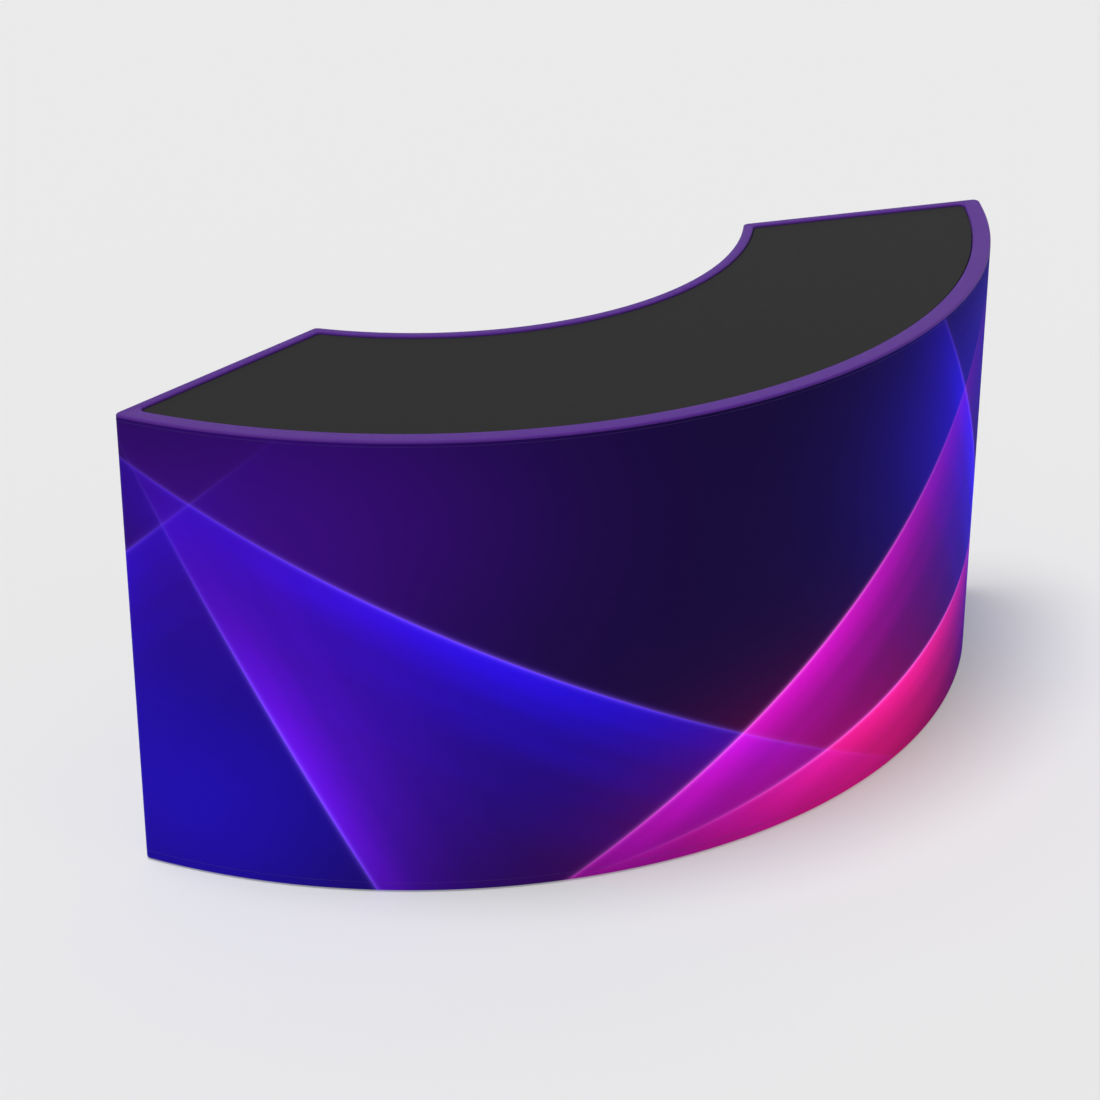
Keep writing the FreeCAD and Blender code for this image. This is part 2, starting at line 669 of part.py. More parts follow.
# Heights and half widths of the power unit
POWER_LOW = BOTTOM_RING_HIGH
POWER_HIGH = POWER_LOW + POWER_HEIGHT
POWER_MIDDLE = POWER_LOW + POWER_HEIGHT / 2
POWER_HALF = POWER_WIDTH / 2
POWER_SCREW_SEAT = POWER_LOW + POWER_WALL
POWER_SCREW_ANGLE = arc_degrees(POWER_SCREW_SPREAD / 2, INNER_RAIL_RADIUS)
POWER_SCREWS = [plan_point(INNER_RAIL_RADIUS, angle) for angle in (-POWER_SCREW_ANGLE, POWER_SCREW_ANGLE)]
POWER_SCREW_HOLES = [screw_hole(place, POWER_SCREW_SEAT, UP * -1) for place in POWER_SCREWS]
WELL_HALF_WIDTH = ROCKER_HALF_WIDTH + FIT_CLEARANCE
TILT_SINE = math.sin(math.radians(ROCKER_TILT))
TILT_COSINE = math.cos(math.radians(ROCKER_TILT))
WELL_HALF_HEIGHT = ROCKER_HALF_HEIGHT * TILT_COSINE + ROCKER_FRONT * TILT_SINE + FIT_CLEARANCE
WELL_DEPTH = ROCKER_PIVOT_DEPTH + ROCKER_BACK + ROCKER_HALF_HEIGHT * TILT_SINE + FIT_CLEARANCE


def power_arc(half_width, half_height, outer, inner):
    """A block of the power unit that follows the curve of the rear wall."""
    low = POWER_MIDDLE - half_height
    high = POWER_MIDDLE + half_height
    return rear_arc(0, -half_width, half_width, outer, inner, low, high)


def power_window():
    """The opening in the cover and in the box that the inlet and the switch pass through."""
    half_height = POWER_HEIGHT / 2 - WINDOW_MARGIN
    return power_arc(POWER_HALF - WINDOW_MARGIN, half_height, -BEYOND, COVER_THICKNESS + POWER_WALL)


def power_box():
    """The driver's housing on the bottom inner rail, closed but for the window behind the bezel."""
    outer = COVER_THICKNESS
    inner = COVER_THICKNESS + POWER_DEPTH
    body = power_arc(POWER_HALF, POWER_HEIGHT / 2, outer, inner)
    half_height = POWER_HEIGHT / 2 - POWER_WALL
    cavity = power_arc(POWER_HALF - POWER_WALL, half_height, outer + POWER_WALL, inner - POWER_WALL)
    return body.cut([cavity, power_window()] + POWER_SCREW_HOLES)


def socket_block(shape, grow, outer, inner):
    """The inlet's body as a rear_box or a rear_arc, grown all round by grow."""
    half_width = SOCKET_HALF_WIDTH + grow
    half_height = SOCKET_HALF_HEIGHT + grow
    left = SOCKET_CENTRE - half_width
    right = SOCKET_CENTRE + half_width
    return shape(0, left, right, outer, inner, POWER_MIDDLE - half_height, POWER_MIDDLE + half_height)


def switch_block(grow, outer, inner):
    """The space of the rocker, grown all round by grow."""
    half_width = WELL_HALF_WIDTH + grow
    half_height = WELL_HALF_HEIGHT + grow
    left = SWITCH_CENTRE - half_width
    right = SWITCH_CENTRE + half_width
    return rear_box(0, left, right, outer, inner, POWER_MIDDLE - half_height, POWER_MIDDLE + half_height)


def switch_pin(radius, half_length):
    start = Vector(SWITCH_CENTRE - half_length, -(INNER_RADIUS + ROCKER_PIVOT_DEPTH), POWER_MIDDLE)
    return Part.makeCylinder(radius, 2 * half_length, start, Vector(1, 0, 0))


def power_bezel():
    """The plate outside the cover, with the well of the switch behind it."""
    half_height = POWER_HEIGHT / 2 - WINDOW_MARGIN + BEZEL_MARGIN
    plate = power_arc(POWER_HALF - WINDOW_MARGIN + BEZEL_MARGIN, half_height, -BEZEL_THICKNESS, 0)
    well = switch_block(WELL_WALL, -BEZEL_THICKNESS / 2, WELL_DEPTH + WELL_WALL)
    space = switch_block(0, -BEYOND, WELL_DEPTH)
    inlet = socket_block(rear_box, FIT_CLEARANCE, -BEYOND, BEYOND)
    pivot = switch_pin(ROCKER_PIN_RADIUS + ROCKER_PIN_CLEARANCE, WELL_HALF_WIDTH + WELL_WALL)
    return plate.fuse(well).cut([space, inlet, pivot]).removeSplitter()


def inlet_socket():
    """The three-pin inlet with its flange on the bezel."""
    face = -BEZEL_THICKNESS - CURVE_GAP - SOCKET_FLANGE_THICKNESS
    flange = socket_block(rear_arc, SOCKET_FLANGE, face, face + SOCKET_FLANGE_THICKNESS)
    body = socket_block(rear_box, 0, face, face + SOCKET_DEPTH)
    floor = face + SOCKET_DEPTH - SOCKET_WALL
    cavity = socket_block(rear_box, -SOCKET_WALL, -BEYOND, floor)
    pins = []
    for across, rise in ((-PIN_SPREAD, -PIN_RISE), (0, PIN_RISE), (PIN_SPREAD, -PIN_RISE)):
        left = SOCKET_CENTRE + across - PIN_THICKNESS / 2
        low = POWER_MIDDLE + rise - PIN_WIDTH / 2
        pins.append(rear_box(0, left, left + PIN_THICKNESS, floor - PIN_LENGTH, floor, low, low + PIN_WIDTH))
    return flange.fuse(body).cut(cavity).multiFuse(pins).removeSplitter()


def rocker_switch():
    """The rocker on its pins, tipped to the side that is on."""
    tips = [
        (-ROCKER_HALF_HEIGHT, -ROCKER_FRONT),
        (0, ROCKER_DISH - ROCKER_FRONT),
        (ROCKER_HALF_HEIGHT, -ROCKER_FRONT),
        (ROCKER_HALF_HEIGHT - ROCKER_DISH, ROCKER_BACK),
        (ROCKER_DISH - ROCKER_HALF_HEIGHT, ROCKER_BACK),
    ]
    pivot = Vector(SWITCH_CENTRE, -(INNER_RADIUS + ROCKER_PIVOT_DEPTH), POWER_MIDDLE)
    profile = [pivot + Vector(-ROCKER_HALF_WIDTH, -depth, rise) for rise, depth in tips]
    face = Part.Face(Part.makePolygon(profile + profile[:1]))
    body = face.extrude(Vector(2 * ROCKER_HALF_WIDTH, 0, 0))
    pins = switch_pin(ROCKER_PIN_RADIUS, WELL_HALF_WIDTH + ROCKER_PIN_LENGTH)
    return body.fuse(pins).removeSplitter().rotated(pivot, Vector(1, 0, 0), ROCKER_TILT)


# Light strips, one along each outer rail of the bottom ring
STRIP_START = TEE_END + arc_degrees(STRIP_END_GAP, OUTER_RAIL_RADIUS)
STRIP_STOP = OUTER_RAIL_END - arc_degrees(STRIP_END_GAP, OUTER_RAIL_RADIUS)
STRIP_OUTER = OUTER_RADIUS - RAIL_OUTSIDE - STRIP_FROM_COVER
STRIP_TOP = BOTTOM_RING_HIGH + STRIP_THICKNESS


def light_strips():
    inner = STRIP_OUTER - STRIP_WIDTH
    return [
        sector(inner, STRIP_OUTER, -STRIP_STOP, -STRIP_START, BOTTOM_RING_HIGH, STRIP_TOP),
        sector(inner, STRIP_OUTER, STRIP_START, STRIP_STOP, BOTTOM_RING_HIGH, STRIP_TOP),
    ]


def light_lenses():
    """Domed lenses, evenly spaced along both strips."""
    step = (STRIP_STOP - STRIP_START) / LENSES_PER_STRIP
    lenses = []
    for side in (-1, 1):
        for count in range(LENSES_PER_STRIP):
            angle = side * (STRIP_START + (count + 0.5) * step)
            base = plan_point(STRIP_OUTER - STRIP_WIDTH / 2, angle) + UP * STRIP_TOP
            lenses.append(rounded_cylinder(LENS_RADIUS, LENS_HEIGHT, base, UP, LENS_EDGE))
    return lenses


# The origin is midway between the front of the arc and the tops of the rounded rear corners
REAR_REACH = rear_corner(CORNER_RADIUS).y + CORNER_RADIUS
ORIGIN_SHIFT = Vector(0, (OUTER_RADIUS - REAR_REACH) / 2, 0)


def write(name, shape):
    if isinstance(shape, list):
        shape = Part.makeCompound(shape)
    shape.translated(ORIGIN_SHIFT).exportStep(f"parts/{name}.step")


def build():
    parts = {}

    for name, rail in ring_rails(0).items():
        parts["bottom_" + name] = rail.translated(UP * BOTTOM_RING_LOW).cut(POWER_SCREW_HOLES)
    for name, rail in ring_rails(SLIMMER).items():
        parts["top_" + name] = rail.translated(UP * TOP_RING_LOW).cut(BRACE_SCREW_HOLES)

    bottom_joints = ring_joints(0)
    top_joints = ring_joints(SLIMMER)
    for name, post in POSTS.items():
        bottom = bottom_joints[name].translated(UP * BOTTOM_RING_LOW)
        bottom = bottom.fuse(stub(post, BOTTOM_RING_HIGH - RAIL_EDGE, BOTTOM_RING_HIGH + STUB_LENGTH))
        top = top_joints[name].translated(UP * TOP_RING_LOW)
        top = top.fuse(stub(post, TOP_RING_LOW - STUB_LENGTH, TOP_RING_LOW + RAIL_EDGE))
        parts["bottom_connector_" + name] = bottom.cut(foot_bore(post)).removeSplitter()
        parts["top_connector_" + name] = top.cut(button_bore(post)).removeSplitter()
        parts["upright_" + name] = upright(post)
        parts["foot_" + name] = foot(post)
        parts["snap_button_" + name] = snap_button(post)
    parts["button_springs"] = [button_spring(post) for post in POSTS.values()]

    for name, angle in BRACE_ANGLES.items():
        parts["top_brace_" + name] = brace(angle)
    parts["brace_plates"] = brace_plates()
    screws = [screw(place, PLATE_SEAT, UP) for place in BRACE_SCREWS]
    screws += [screw(place, POWER_SCREW_SEAT, UP * -1) for place in POWER_SCREWS]
    parts["frame_screws"] = screws
    parts["countertop_pads"] = top_pads()
    parts["countertop_panel"] = counter_top()

    front, left, right, rear = cover_panels()
    parts["front_graphic"] = front
    parts["end_panel_left"] = left
    parts["end_panel_right"] = right
    parts["rear_panel"] = rear.cut([zip_slot(), power_window()])
    parts["top_border"] = top_border()

    parts["zip_tapes"] = zip_tapes()
    parts["zip_chains"] = zip_chains()
    parts["zip_slider"] = zip_slider()
    parts["zip_pull"] = zip_pull()

    parts["led_strips"] = light_strips()
    parts["led_lenses"] = light_lenses()
    parts["power_box"] = power_box()
    parts["power_bezel"] = power_bezel()
    parts["inlet_socket"] = inlet_socket()
    parts["rocker_switch"] = rocker_switch()
    return parts


os.makedirs("parts", exist_ok=True)
for node, shape in build().items():
    write(node, shape)
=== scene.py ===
# %% [markdown]
# # A curved, backlit trade show counter
# The real counter is a tube frame under a stretched cover: a printed front, plain cloth
# at the back and round the top, and a loose dark panel lying inside the border.
# The frame comes from the CAD model and is loaded as it is. Everything soft, and everything
# that carries a finish, is made here around it, in metres and in the same place.

# %% Load the frame
import json
import math

import bmesh
import bpy
from mathutils import Matrix, Vector


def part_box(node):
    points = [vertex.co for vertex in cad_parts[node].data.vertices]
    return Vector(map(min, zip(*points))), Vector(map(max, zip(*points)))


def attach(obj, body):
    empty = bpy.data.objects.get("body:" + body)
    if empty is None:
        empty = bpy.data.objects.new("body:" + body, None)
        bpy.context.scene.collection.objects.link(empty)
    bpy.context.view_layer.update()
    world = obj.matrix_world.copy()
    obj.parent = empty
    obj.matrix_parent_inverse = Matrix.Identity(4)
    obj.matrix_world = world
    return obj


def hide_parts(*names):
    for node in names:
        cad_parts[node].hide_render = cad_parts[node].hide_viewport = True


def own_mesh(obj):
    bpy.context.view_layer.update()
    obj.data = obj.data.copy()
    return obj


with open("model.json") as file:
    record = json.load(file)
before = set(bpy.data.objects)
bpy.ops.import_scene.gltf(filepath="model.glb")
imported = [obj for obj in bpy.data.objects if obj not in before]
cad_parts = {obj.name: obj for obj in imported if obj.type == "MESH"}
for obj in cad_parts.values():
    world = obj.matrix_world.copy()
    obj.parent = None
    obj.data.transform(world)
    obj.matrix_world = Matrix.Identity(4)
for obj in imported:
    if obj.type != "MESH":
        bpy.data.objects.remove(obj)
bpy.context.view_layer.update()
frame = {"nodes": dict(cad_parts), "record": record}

# %% [markdown]
# ## Where things are
# Only a few sizes drive the cover: two radii, the angles of the four corners and the rounding
# of those corners. The heights are read off the CAD nodes, so a new pack moves the cloth with it.
# Angles are measured at the centre of the arcs, from the middle of the front, towards +X.

# %% Driving sizes
OUTER_RADIUS = 1.27
INNER_RADIUS = 0.72
OUTER_HALF_ANGLE = math.radians(60.4)
INNER_HALF_ANGLE = math.radians(50.4)
CORNER_RADIUS = 0.014
UP = Vector((0, 0, 1))

HEM_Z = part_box("front_graphic")[0].z
SEAM_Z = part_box("front_graphic")[1].z
TOP_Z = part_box("top_border")[1].z
FLAP_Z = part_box("top_border")[0].z
ARC_CENTRE = Vector((0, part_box("front_graphic")[0].y + OUTER_RADIUS, 0))
print("hem, seam and top at", round(HEM_Z, 4), round(SEAM_Z, 4), round(TOP_Z, 4))

# %% [markdown]
# ## Camera, floor and light
# The photograph looks down at the counter's left front corner with a long lens. Its place was
# found by fitting the arcs to the picture, so here it is given as measured from the arcs' centre.
# A floor that fills the view makes the pale background. To the camera it glows a little in its own
# grey, so the background stays even, and the rest of it keeps the shadow.
# An even sky with one broad, high sun from the left lights it all, at a level where a
# horizontal surface shows its own colour.

# %% Camera
PHOTO_SIDE = 1100
FOCAL_PIXELS = 2931
SENSOR_WIDTH = 36.0
CAMERA_FROM_CENTRE = Vector((-3.3117, -5.3682, 3.2462))
CAMERA_FORWARD = Vector((0.50488, 0.74200, -0.44107))

lens = bpy.data.cameras.new("photo_camera")
lens.sensor_width = SENSOR_WIDTH
lens.lens = FOCAL_PIXELS / PHOTO_SIDE * SENSOR_WIDTH
camera = bpy.data.objects.new("photo_camera", lens)
camera.location = ARC_CENTRE + CAMERA_FROM_CENTRE
camera.rotation_euler = CAMERA_FORWARD.to_track_quat("-Z", "Y").to_euler()
bpy.context.scene.collection.objects.link(camera)
bpy.context.scene.camera = camera
bpy.context.scene.view_settings.view_transform = "Standard"
print("lens", round(lens.lens, 2), "mm")


# %% Helpers for shader nodes
def put(tree, socket, value):
    """Links a socket or sets its value."""
    if isinstance(value, bpy.types.NodeSocket):
        tree.links.new(value, socket)
    else:
        socket.default_value = value


def add_node(tree, kind, inputs=(), **settings):
    """A node with its settings and its inputs, given as a dict of socket name or number to value."""
    node = tree.nodes.new("ShaderNode" + kind)
    for key, value in settings.items():
        setattr(node, key, value)
    for name, value in dict(inputs).items():
        put(tree, node.inputs[name], value)
    return node


def maths(tree, operation, *values):
    """The result of one Math node."""
    node = add_node(tree, "Math", operation=operation)
    for socket, value in zip(node.inputs, values):
        put(tree, socket, value)
    return node.outputs[0]


def new_material(name, **settings):
    """A material with its tree and its Principled shader, whose plain sockets are set by name."""
    material = bpy.data.materials.new(name)
    material.use_nodes = True
    shader = material.node_tree.nodes["Principled BSDF"]
    for socket, value in settings.items():
        shader.inputs[socket.replace("_", " ")].default_value = value
    return material, material.node_tree, shader


# %% Floor
FLOOR_RADIUS = 14.0
FLOOR_SEGMENTS = 96
FLOOR_GREY = (0.815, 0.815, 0.815, 1)
FLOOR_GLOW = 0.30

floor_finish, tree, shader = new_material(
    "studio_floor", Base_Color=FLOOR_GREY, Roughness=0.9, Specular_IOR_Level=0.0
)
even = add_node(tree, "Emission", {"Color": FLOOR_GREY, "Strength": 1.0})
share = maths(tree, "MULTIPLY", add_node(tree, "LightPath").outputs["Is Camera Ray"], FLOOR_GLOW)
mixed = add_node(tree, "MixShader", {0: share, 1: shader.outputs["BSDF"], 2: even.outputs["Emission"]})
put(tree, tree.nodes["Material Output"].inputs["Surface"], mixed.outputs["Shader"])
bm = bmesh.new()
bmesh.ops.create_circle(bm, cap_ends=True, segments=FLOOR_SEGMENTS, radius=FLOOR_RADIUS)
mesh = bpy.data.meshes.new("studio_floor")
bm.to_mesh(mesh)
bm.free()
mesh.materials.append(floor_finish)
floor = bpy.data.objects.new("studio_floor", mesh)
bpy.context.scene.collection.objects.link(floor)
print("floor", FLOOR_RADIUS, "m about the counter")

# %% Sky and sun
SKY_GREY = (0.34, 0.34, 0.34, 1)
SUN_STRENGTH = 2.16
SUN_SOFTNESS = math.radians(22)
SUN_FROM = Vector((-0.19, 0.07, 1.10))

world = bpy.data.worlds.new("studio")
world.use_nodes = True
bpy.context.scene.world = world
tree = world.node_tree
path = add_node(tree, "LightPath")
seen = maths(tree, "MAXIMUM", path.outputs["Is Camera Ray"], path.outputs["Is Glossy Ray"])
seen = maths(tree, "MAXIMUM", seen, path.outputs["Is Transmission Ray"])
sky = add_node(tree, "MixRGB", {"Fac": seen, "Color1": SKY_GREY, "Color2": FLOOR_GREY})
put(tree, tree.nodes["Background"].inputs["Color"], sky.outputs["Color"])

sun = bpy.data.lights.new("soft_sun", "SUN")
sun.energy = SUN_STRENGTH
sun.angle = SUN_SOFTNESS
sun_object = bpy.data.objects.new("soft_sun", sun)
sun_object.rotation_euler = (-SUN_FROM).to_track_quat("-Z", "Y").to_euler()
bpy.context.scene.collection.objects.link(sun_object)
print("sky", SKY_GREY[0], "sun", SUN_STRENGTH)

# %% [markdown]
# ## The footprint
# Every cloth piece follows the same plan: a wide arc at the front, a small arc at the back, two
# straight ends and four rounded corners, with a seam in the middle of each corner.
# It could be typed in as points. Instead each side is a start point and a few moves, and a move is
# one spin or one straight run, so that any offset of the plan comes from the same lines.


# %% Plan geometry
def plan_direction(angle):
    """Level direction at that angle from the middle of the front."""
    return Vector((math.sin(angle), -math.cos(angle), 0))


def plan_angle(direction):
    """Angle of a level direction from the middle of the front."""
    return math.atan2(direction.x, -direction.y)


def mirrored(point):
    """The same place on the other half of the counter."""
    return Vector((-point.x, point.y, point.z))


FRONT_CORNER = plan_direction(OUTER_HALF_ANGLE) * OUTER_RADIUS
REAR_CORNER = plan_direction(INNER_HALF_ANGLE) * INNER_RADIUS
END_RUN = (REAR_CORNER - FRONT_CORNER).normalized()
END_OUT = Vector((END_RUN.y, -END_RUN.x, 0))
END_OUT_ANGLE = plan_angle(END_OUT)
END_LENGTH = (REAR_CORNER - FRONT_CORNER).length


def end_crossing(offset, radius):
    """Where the right end, moved inward by offset, crosses the circle of that radius."""
    start = FRONT_CORNER - END_OUT * offset
    along = start.dot(END_RUN)
    reach = math.sqrt(along**2 - start.length_squared + radius**2)
    return start - END_RUN * (along + reach)


print("the ends are", round(END_LENGTH, 3), "m long")

# %% Edges of the openings in the back
ZIP_ANGLE = math.radians(-38)
ZIP_SLOT_HALF = 0.014
WINDOW_HALF = 0.037
EDGE_STITCH = 0.0035


def rear_breaks():
    """Angles at which the back is divided: both edges of the zip's slot and of the power window."""
    found = []
    for middle, half in ((0, WINDOW_HALF), (ZIP_ANGLE, ZIP_SLOT_HALF)):
        for reach in (-half - EDGE_STITCH, -half, half, half + EDGE_STITCH):
            found.append(middle + reach / INNER_RADIUS)
    return sorted(found, reverse=True)


print("back divided at", [round(math.degrees(angle), 1) for angle in rear_breaks()])


# %% The sides as moves
def spun(centre, turn, steps):
    """A move round a centre, as its centre, turn, run of one step and number of steps."""
    return (centre, turn, Vector(), steps)


def run_on(run, steps):
    """A straight move, written the same way."""
    return (Vector(), 0.0, run / steps, steps)


def step_count(length, spacing):
    """How many steps of about that spacing fill a length."""
    return max(1, round(abs(length) / spacing))


def rear_moves(angle, spacing):
    """The back's arc from right to left, with as many steps at any offset."""
    moves = []
    start = angle
    full_start = INNER_HALF_ANGLE
    for stop in rear_breaks() + [None]:
        full_stop = -INNER_HALF_ANGLE if stop is None else stop
        stop = -angle if stop is None else stop
        steps = step_count((full_start - full_stop) * INNER_RADIUS, spacing)
        moves.append(spun(Vector(), stop - start, steps))
        start = stop
        full_start = full_stop
    return moves


def footprint(offset, rounding, spacing, corner_steps, slimmer=0.0):
    """Start point and moves of each side, from seam to seam, moved inward by offset.

    The ends and the back are moved inward by slimmer less.
    """
    others = offset - slimmer + rounding
    front_centre = end_crossing(others, OUTER_RADIUS - offset - rounding)
    rear_centre = end_crossing(others, INNER_RADIUS + others)
    front_angle = plan_angle(front_centre)
    rear_angle = plan_angle(rear_centre)
    front_turn = (END_OUT_ANGLE - front_angle) / 2
    rear_turn = (rear_angle + math.pi - END_OUT_ANGLE) / 2
    front_seam = front_centre + plan_direction(END_OUT_ANGLE - front_turn) * rounding
    rear_seam = rear_centre + plan_direction(END_OUT_ANGLE + rear_turn) * rounding
    run = rear_centre - front_centre
    front_right = spun(front_centre, front_turn, corner_steps)
    front_left = spun(mirrored(front_centre), front_turn, corner_steps)
    rear_right = spun(rear_centre, rear_turn, corner_steps)
    rear_left = spun(mirrored(rear_centre), rear_turn, corner_steps)
    front_steps = step_count(2 * OUTER_HALF_ANGLE * OUTER_RADIUS, spacing)
    front_arc = spun(Vector(), 2 * front_angle, front_steps)
    right_run = run_on(run, step_count(END_LENGTH, spacing))
    left_run = run_on(mirrored(-run), step_count(END_LENGTH, spacing))
    return {
        "front": (mirrored(front_seam), [front_left, front_arc, front_right]),
        "right": (front_seam, [front_right, right_run, rear_right]),
        "rear": (rear_seam, [rear_right] + rear_moves(rear_angle, spacing) + [rear_left]),
        "left": (mirrored(rear_seam), [rear_left, left_run, front_left]),
    }


SIDES = ("front", "right", "rear", "left")
CLOTH_COLUMN = 0.02
CORNER_STEPS = 8
plan = footprint(0, CORNER_RADIUS, CLOTH_COLUMN, CORNER_STEPS)
print("moves of each side", [len(plan[side][1]) for side in SIDES])

# %% [markdown]
# ## Cloth from rows
# A stretched panel could be a curve with a bevel, or a grid bent by a modifier. Here it is a stack
# of rows: one vertex is spun along the plan into the first row, the row is extruded upwards again
# and again, and each new row takes its own inset and height. That gives clean four-sided faces
# that run with the cloth, and a map in metres for the weave and the print.


# %% One vertex to a line
def draw_line(start, moves):
    """The points of one vertex that is spun and run along the moves."""
    bm = bmesh.new()
    last = bm.verts.new(start + ARC_CENTRE)
    for centre, turn, run, steps in moves:
        bmesh.ops.spin(bm, geom=[last], cent=centre + ARC_CENTRE, axis=UP, dvec=run, angle=turn, steps=steps)
        bm.verts.ensure_lookup_table()
        last = bm.verts[-1]
    points = [vertex.co.copy() for vertex in bm.verts]
    bm.free()
    return points


def plan_line(sides, inset, rounding, slimmer=0.0):
    """The plan of some sides in a row, moved inward by inset, ends and back by slimmer less."""
    plan = footprint(inset, rounding, CLOTH_COLUMN, CORNER_STEPS, slimmer)
    return draw_line(plan[sides[0]][0], [move for side in sides for move in plan[side][1]])


def lengths_along(points):
    """Distance of each point from the start of its line."""
    along = [0.0]
    for before, after in zip(points, points[1:]):
        along.append(along[-1] + (after - before).length)
    return along


FRONT_HALF = lengths_along(plan_line(["front"], 0, CORNER_RADIUS))[-1] / 2
END_CLOTH = lengths_along(plan_line(["right"], 0, CORNER_RADIUS))[-1]
print("front", round(2 * FRONT_HALF, 3), "m, ends", round(END_CLOTH, 3), "m of cloth")


# %% Lines to a sheet
def first_row(bm, points):
    """Vertices at the points, joined into a line."""
    line = [bm.verts.new(point) for point in points]
    for pair in zip(line, line[1:]):
        bm.edges.new(pair)
    return line


def next_row(bm, line, points):
    """Extrudes a row and moves the new one to its points."""
    number = {vertex: place for place, vertex in enumerate(line)}
    edges = [bm.edges.get(pair) for pair in zip(line, line[1:])]
    made = bmesh.ops.extrude_edge_only(bm, edges=edges)["geom"]
    row = [None] * len(line)
    for vertex in (item for item in made if isinstance(item, bmesh.types.BMVert)):
        neighbours = [edge.other_vert(vertex) for edge in vertex.link_edges]
        place = next(number[other] for other in neighbours if other in number)
        row[place] = vertex
        vertex.co = points[place]
    return row


def map_in_metres(bm, lines, along, start):
    """A UV map with the length along the cloth and the length up it, both in metres."""
    layer = bm.loops.layers.uv.new("cloth_map")
    middle = len(along) // 2
    place = {}
    height = 0.0
    for number, line in enumerate(lines):
        if number:
            height += (line[middle].co - lines[number - 1][middle].co).length
        for vertex, length in zip(line, along):
            place[vertex] = (start + length, height)
    for face in bm.faces:
        for corner in face.loops:
            corner[layer].uv = place[corner.vert]


def sheet_through(rows, start):
    """A bmesh through rows of points, with its lines of vertices, mapped from that start."""
    bm = bmesh.new()
    lines = [first_row(bm, rows[0])]
    for points in rows[1:]:
        lines.append(next_row(bm, lines[-1], points))
    map_in_metres(bm, lines, lengths_along(rows[len(rows) // 2]), start)
    return bm, lines


def face_along(bm, face, direction):
    """Turns all faces so that the given one looks along direction."""
    bmesh.ops.recalc_face_normals(bm, faces=bm.faces)
    if face.normal.dot(direction) < 0:
        bmesh.ops.reverse_faces(bm, faces=bm.faces)


# %% Bmesh to a piece
CLOTH_THICKNESS = 0.0008


def new_piece(name, bm):
    """A smooth mesh object from a bmesh."""
    mesh = bpy.data.meshes.new(name)
    bm.to_mesh(mesh)
    bm.free()
    mesh.shade_smooth()
    piece = bpy.data.objects.new(name, mesh)
    bpy.context.scene.collection.objects.link(piece)
    return piece


def thicken(piece, thickness):
    """Gives a sheet its thickness, behind its face."""
    solid = piece.modifiers.new("thickness", "SOLIDIFY")
    solid.thickness = thickness
    solid.offset = -1
    return piece


print("cloth", CLOTH_THICKNESS * 1000, "mm thick, in columns of", CLOTH_COLUMN * 1000, "mm")

# %% [markdown]
# ## The four upright panels
# Each panel starts as a hem folded under the bottom ring, rolls round the ring's edge, runs up the
# frame and tucks into the seam under the border. A shallow valley marks each line of stitches, and
# the upright edges tuck in at the corner seams, as sewn cloth does.
# The back panel has two openings, for the zip and for the power unit: their edges are rows and
# columns of the same sheet, so the faces inside them are simply deleted.

# %% Heights of the rows
HEM_RETURN = 0.0125
HEM_ROLL = 0.003
HEM_ROLL_ANGLES = (0, 30, 60, 90)
HEM_STITCH_Z = 0.0215
SEAM_STITCH_DROP = 0.0065
SEAM_STITCH_Z = SEAM_Z - SEAM_STITCH_DROP
VALLEY_DEPTH = 0.00035
VALLEY_HALF = 0.0016
TUCK_DEPTH = 0.0006
TUCK_CURVE = ((0, 0.0035), (0.0001, 0.0016), (0.0003, 0.0005), (TUCK_DEPTH, 0))
WALL_ROWS = 26


def hem_rows():
    """Inset and height of the rows under the ring and round its edge."""
    rows = [(HEM_RETURN, HEM_Z), (HEM_RETURN / 2, HEM_Z)]
    for angle in HEM_ROLL_ANGLES:
        turn = math.radians(angle)
        rows.append((HEM_ROLL * (1 - math.sin(turn)), HEM_Z + HEM_ROLL * (1 - math.cos(turn))))
    return rows


def valley_rows(height):
    """The valley that a line of stitches at that height pulls into the cloth."""
    return [(0, height - VALLEY_HALF), (VALLEY_DEPTH, height), (0, height + VALLEY_HALF)]


def tuck_rows():
    """The cloth's last millimetres, pulled into the seam under the border."""
    return [(inset, SEAM_Z - drop) for inset, drop in TUCK_CURVE]


def wall_rows(extra=()):
    """All rows of an upright panel, from the hem to the seam, with extra heights added."""
    low = HEM_STITCH_Z + 2 * VALLEY_HALF
    high = SEAM_STITCH_Z - 2 * VALLEY_HALF
    heights = [low + (high - low) * number / WALL_ROWS for number in range(WALL_ROWS + 1)]
    plain = [(0, height) for height in sorted(heights + list(extra))]
    return hem_rows() + valley_rows(HEM_STITCH_Z) + plain + valley_rows(SEAM_STITCH_Z) + tuck_rows()


print(len(wall_rows()), "rows in a panel")

# %% An upright panel
TUCK_REACH = 0.0045


def outward_of(points):
    """Level direction out of the counter at each point of a line."""
    found = []
    for number in range(len(points)):
        tangent = points[min(number + 1, len(points) - 1)] - points[max(number - 1, 0)]
        found.append(Vector((tangent.y, -tangent.x, 0)).normalized())
    return found


def tuck_ends(lines, along, outward):
    """Pulls both upright edges of a panel into the seams at the corners."""
    for line in lines:
        for vertex, length, out in zip(line, along, outward):
            share = max(0.0, 1 - min(length, along[-1] - length) / TUCK_REACH)
            vertex.co -= out * TUCK_DEPTH * share**2


def cloth_panel(side, rows, start):
    """The bmesh of one upright panel, whose map begins at start."""
    plans = {inset: plan_line([side], inset, CORNER_RADIUS - inset) for inset, height in rows}
    points = [[point + UP * height for point in plans[inset]] for inset, height in rows]
    bm, lines = sheet_through(points, start)
    outward = outward_of(plans[0])
    middle = len(outward) // 2
    face_along(bm, lines[len(lines) // 2][middle].link_faces[0], outward[middle])
    tuck_ends(lines, lengths_along(plans[0]), outward)
    return bm


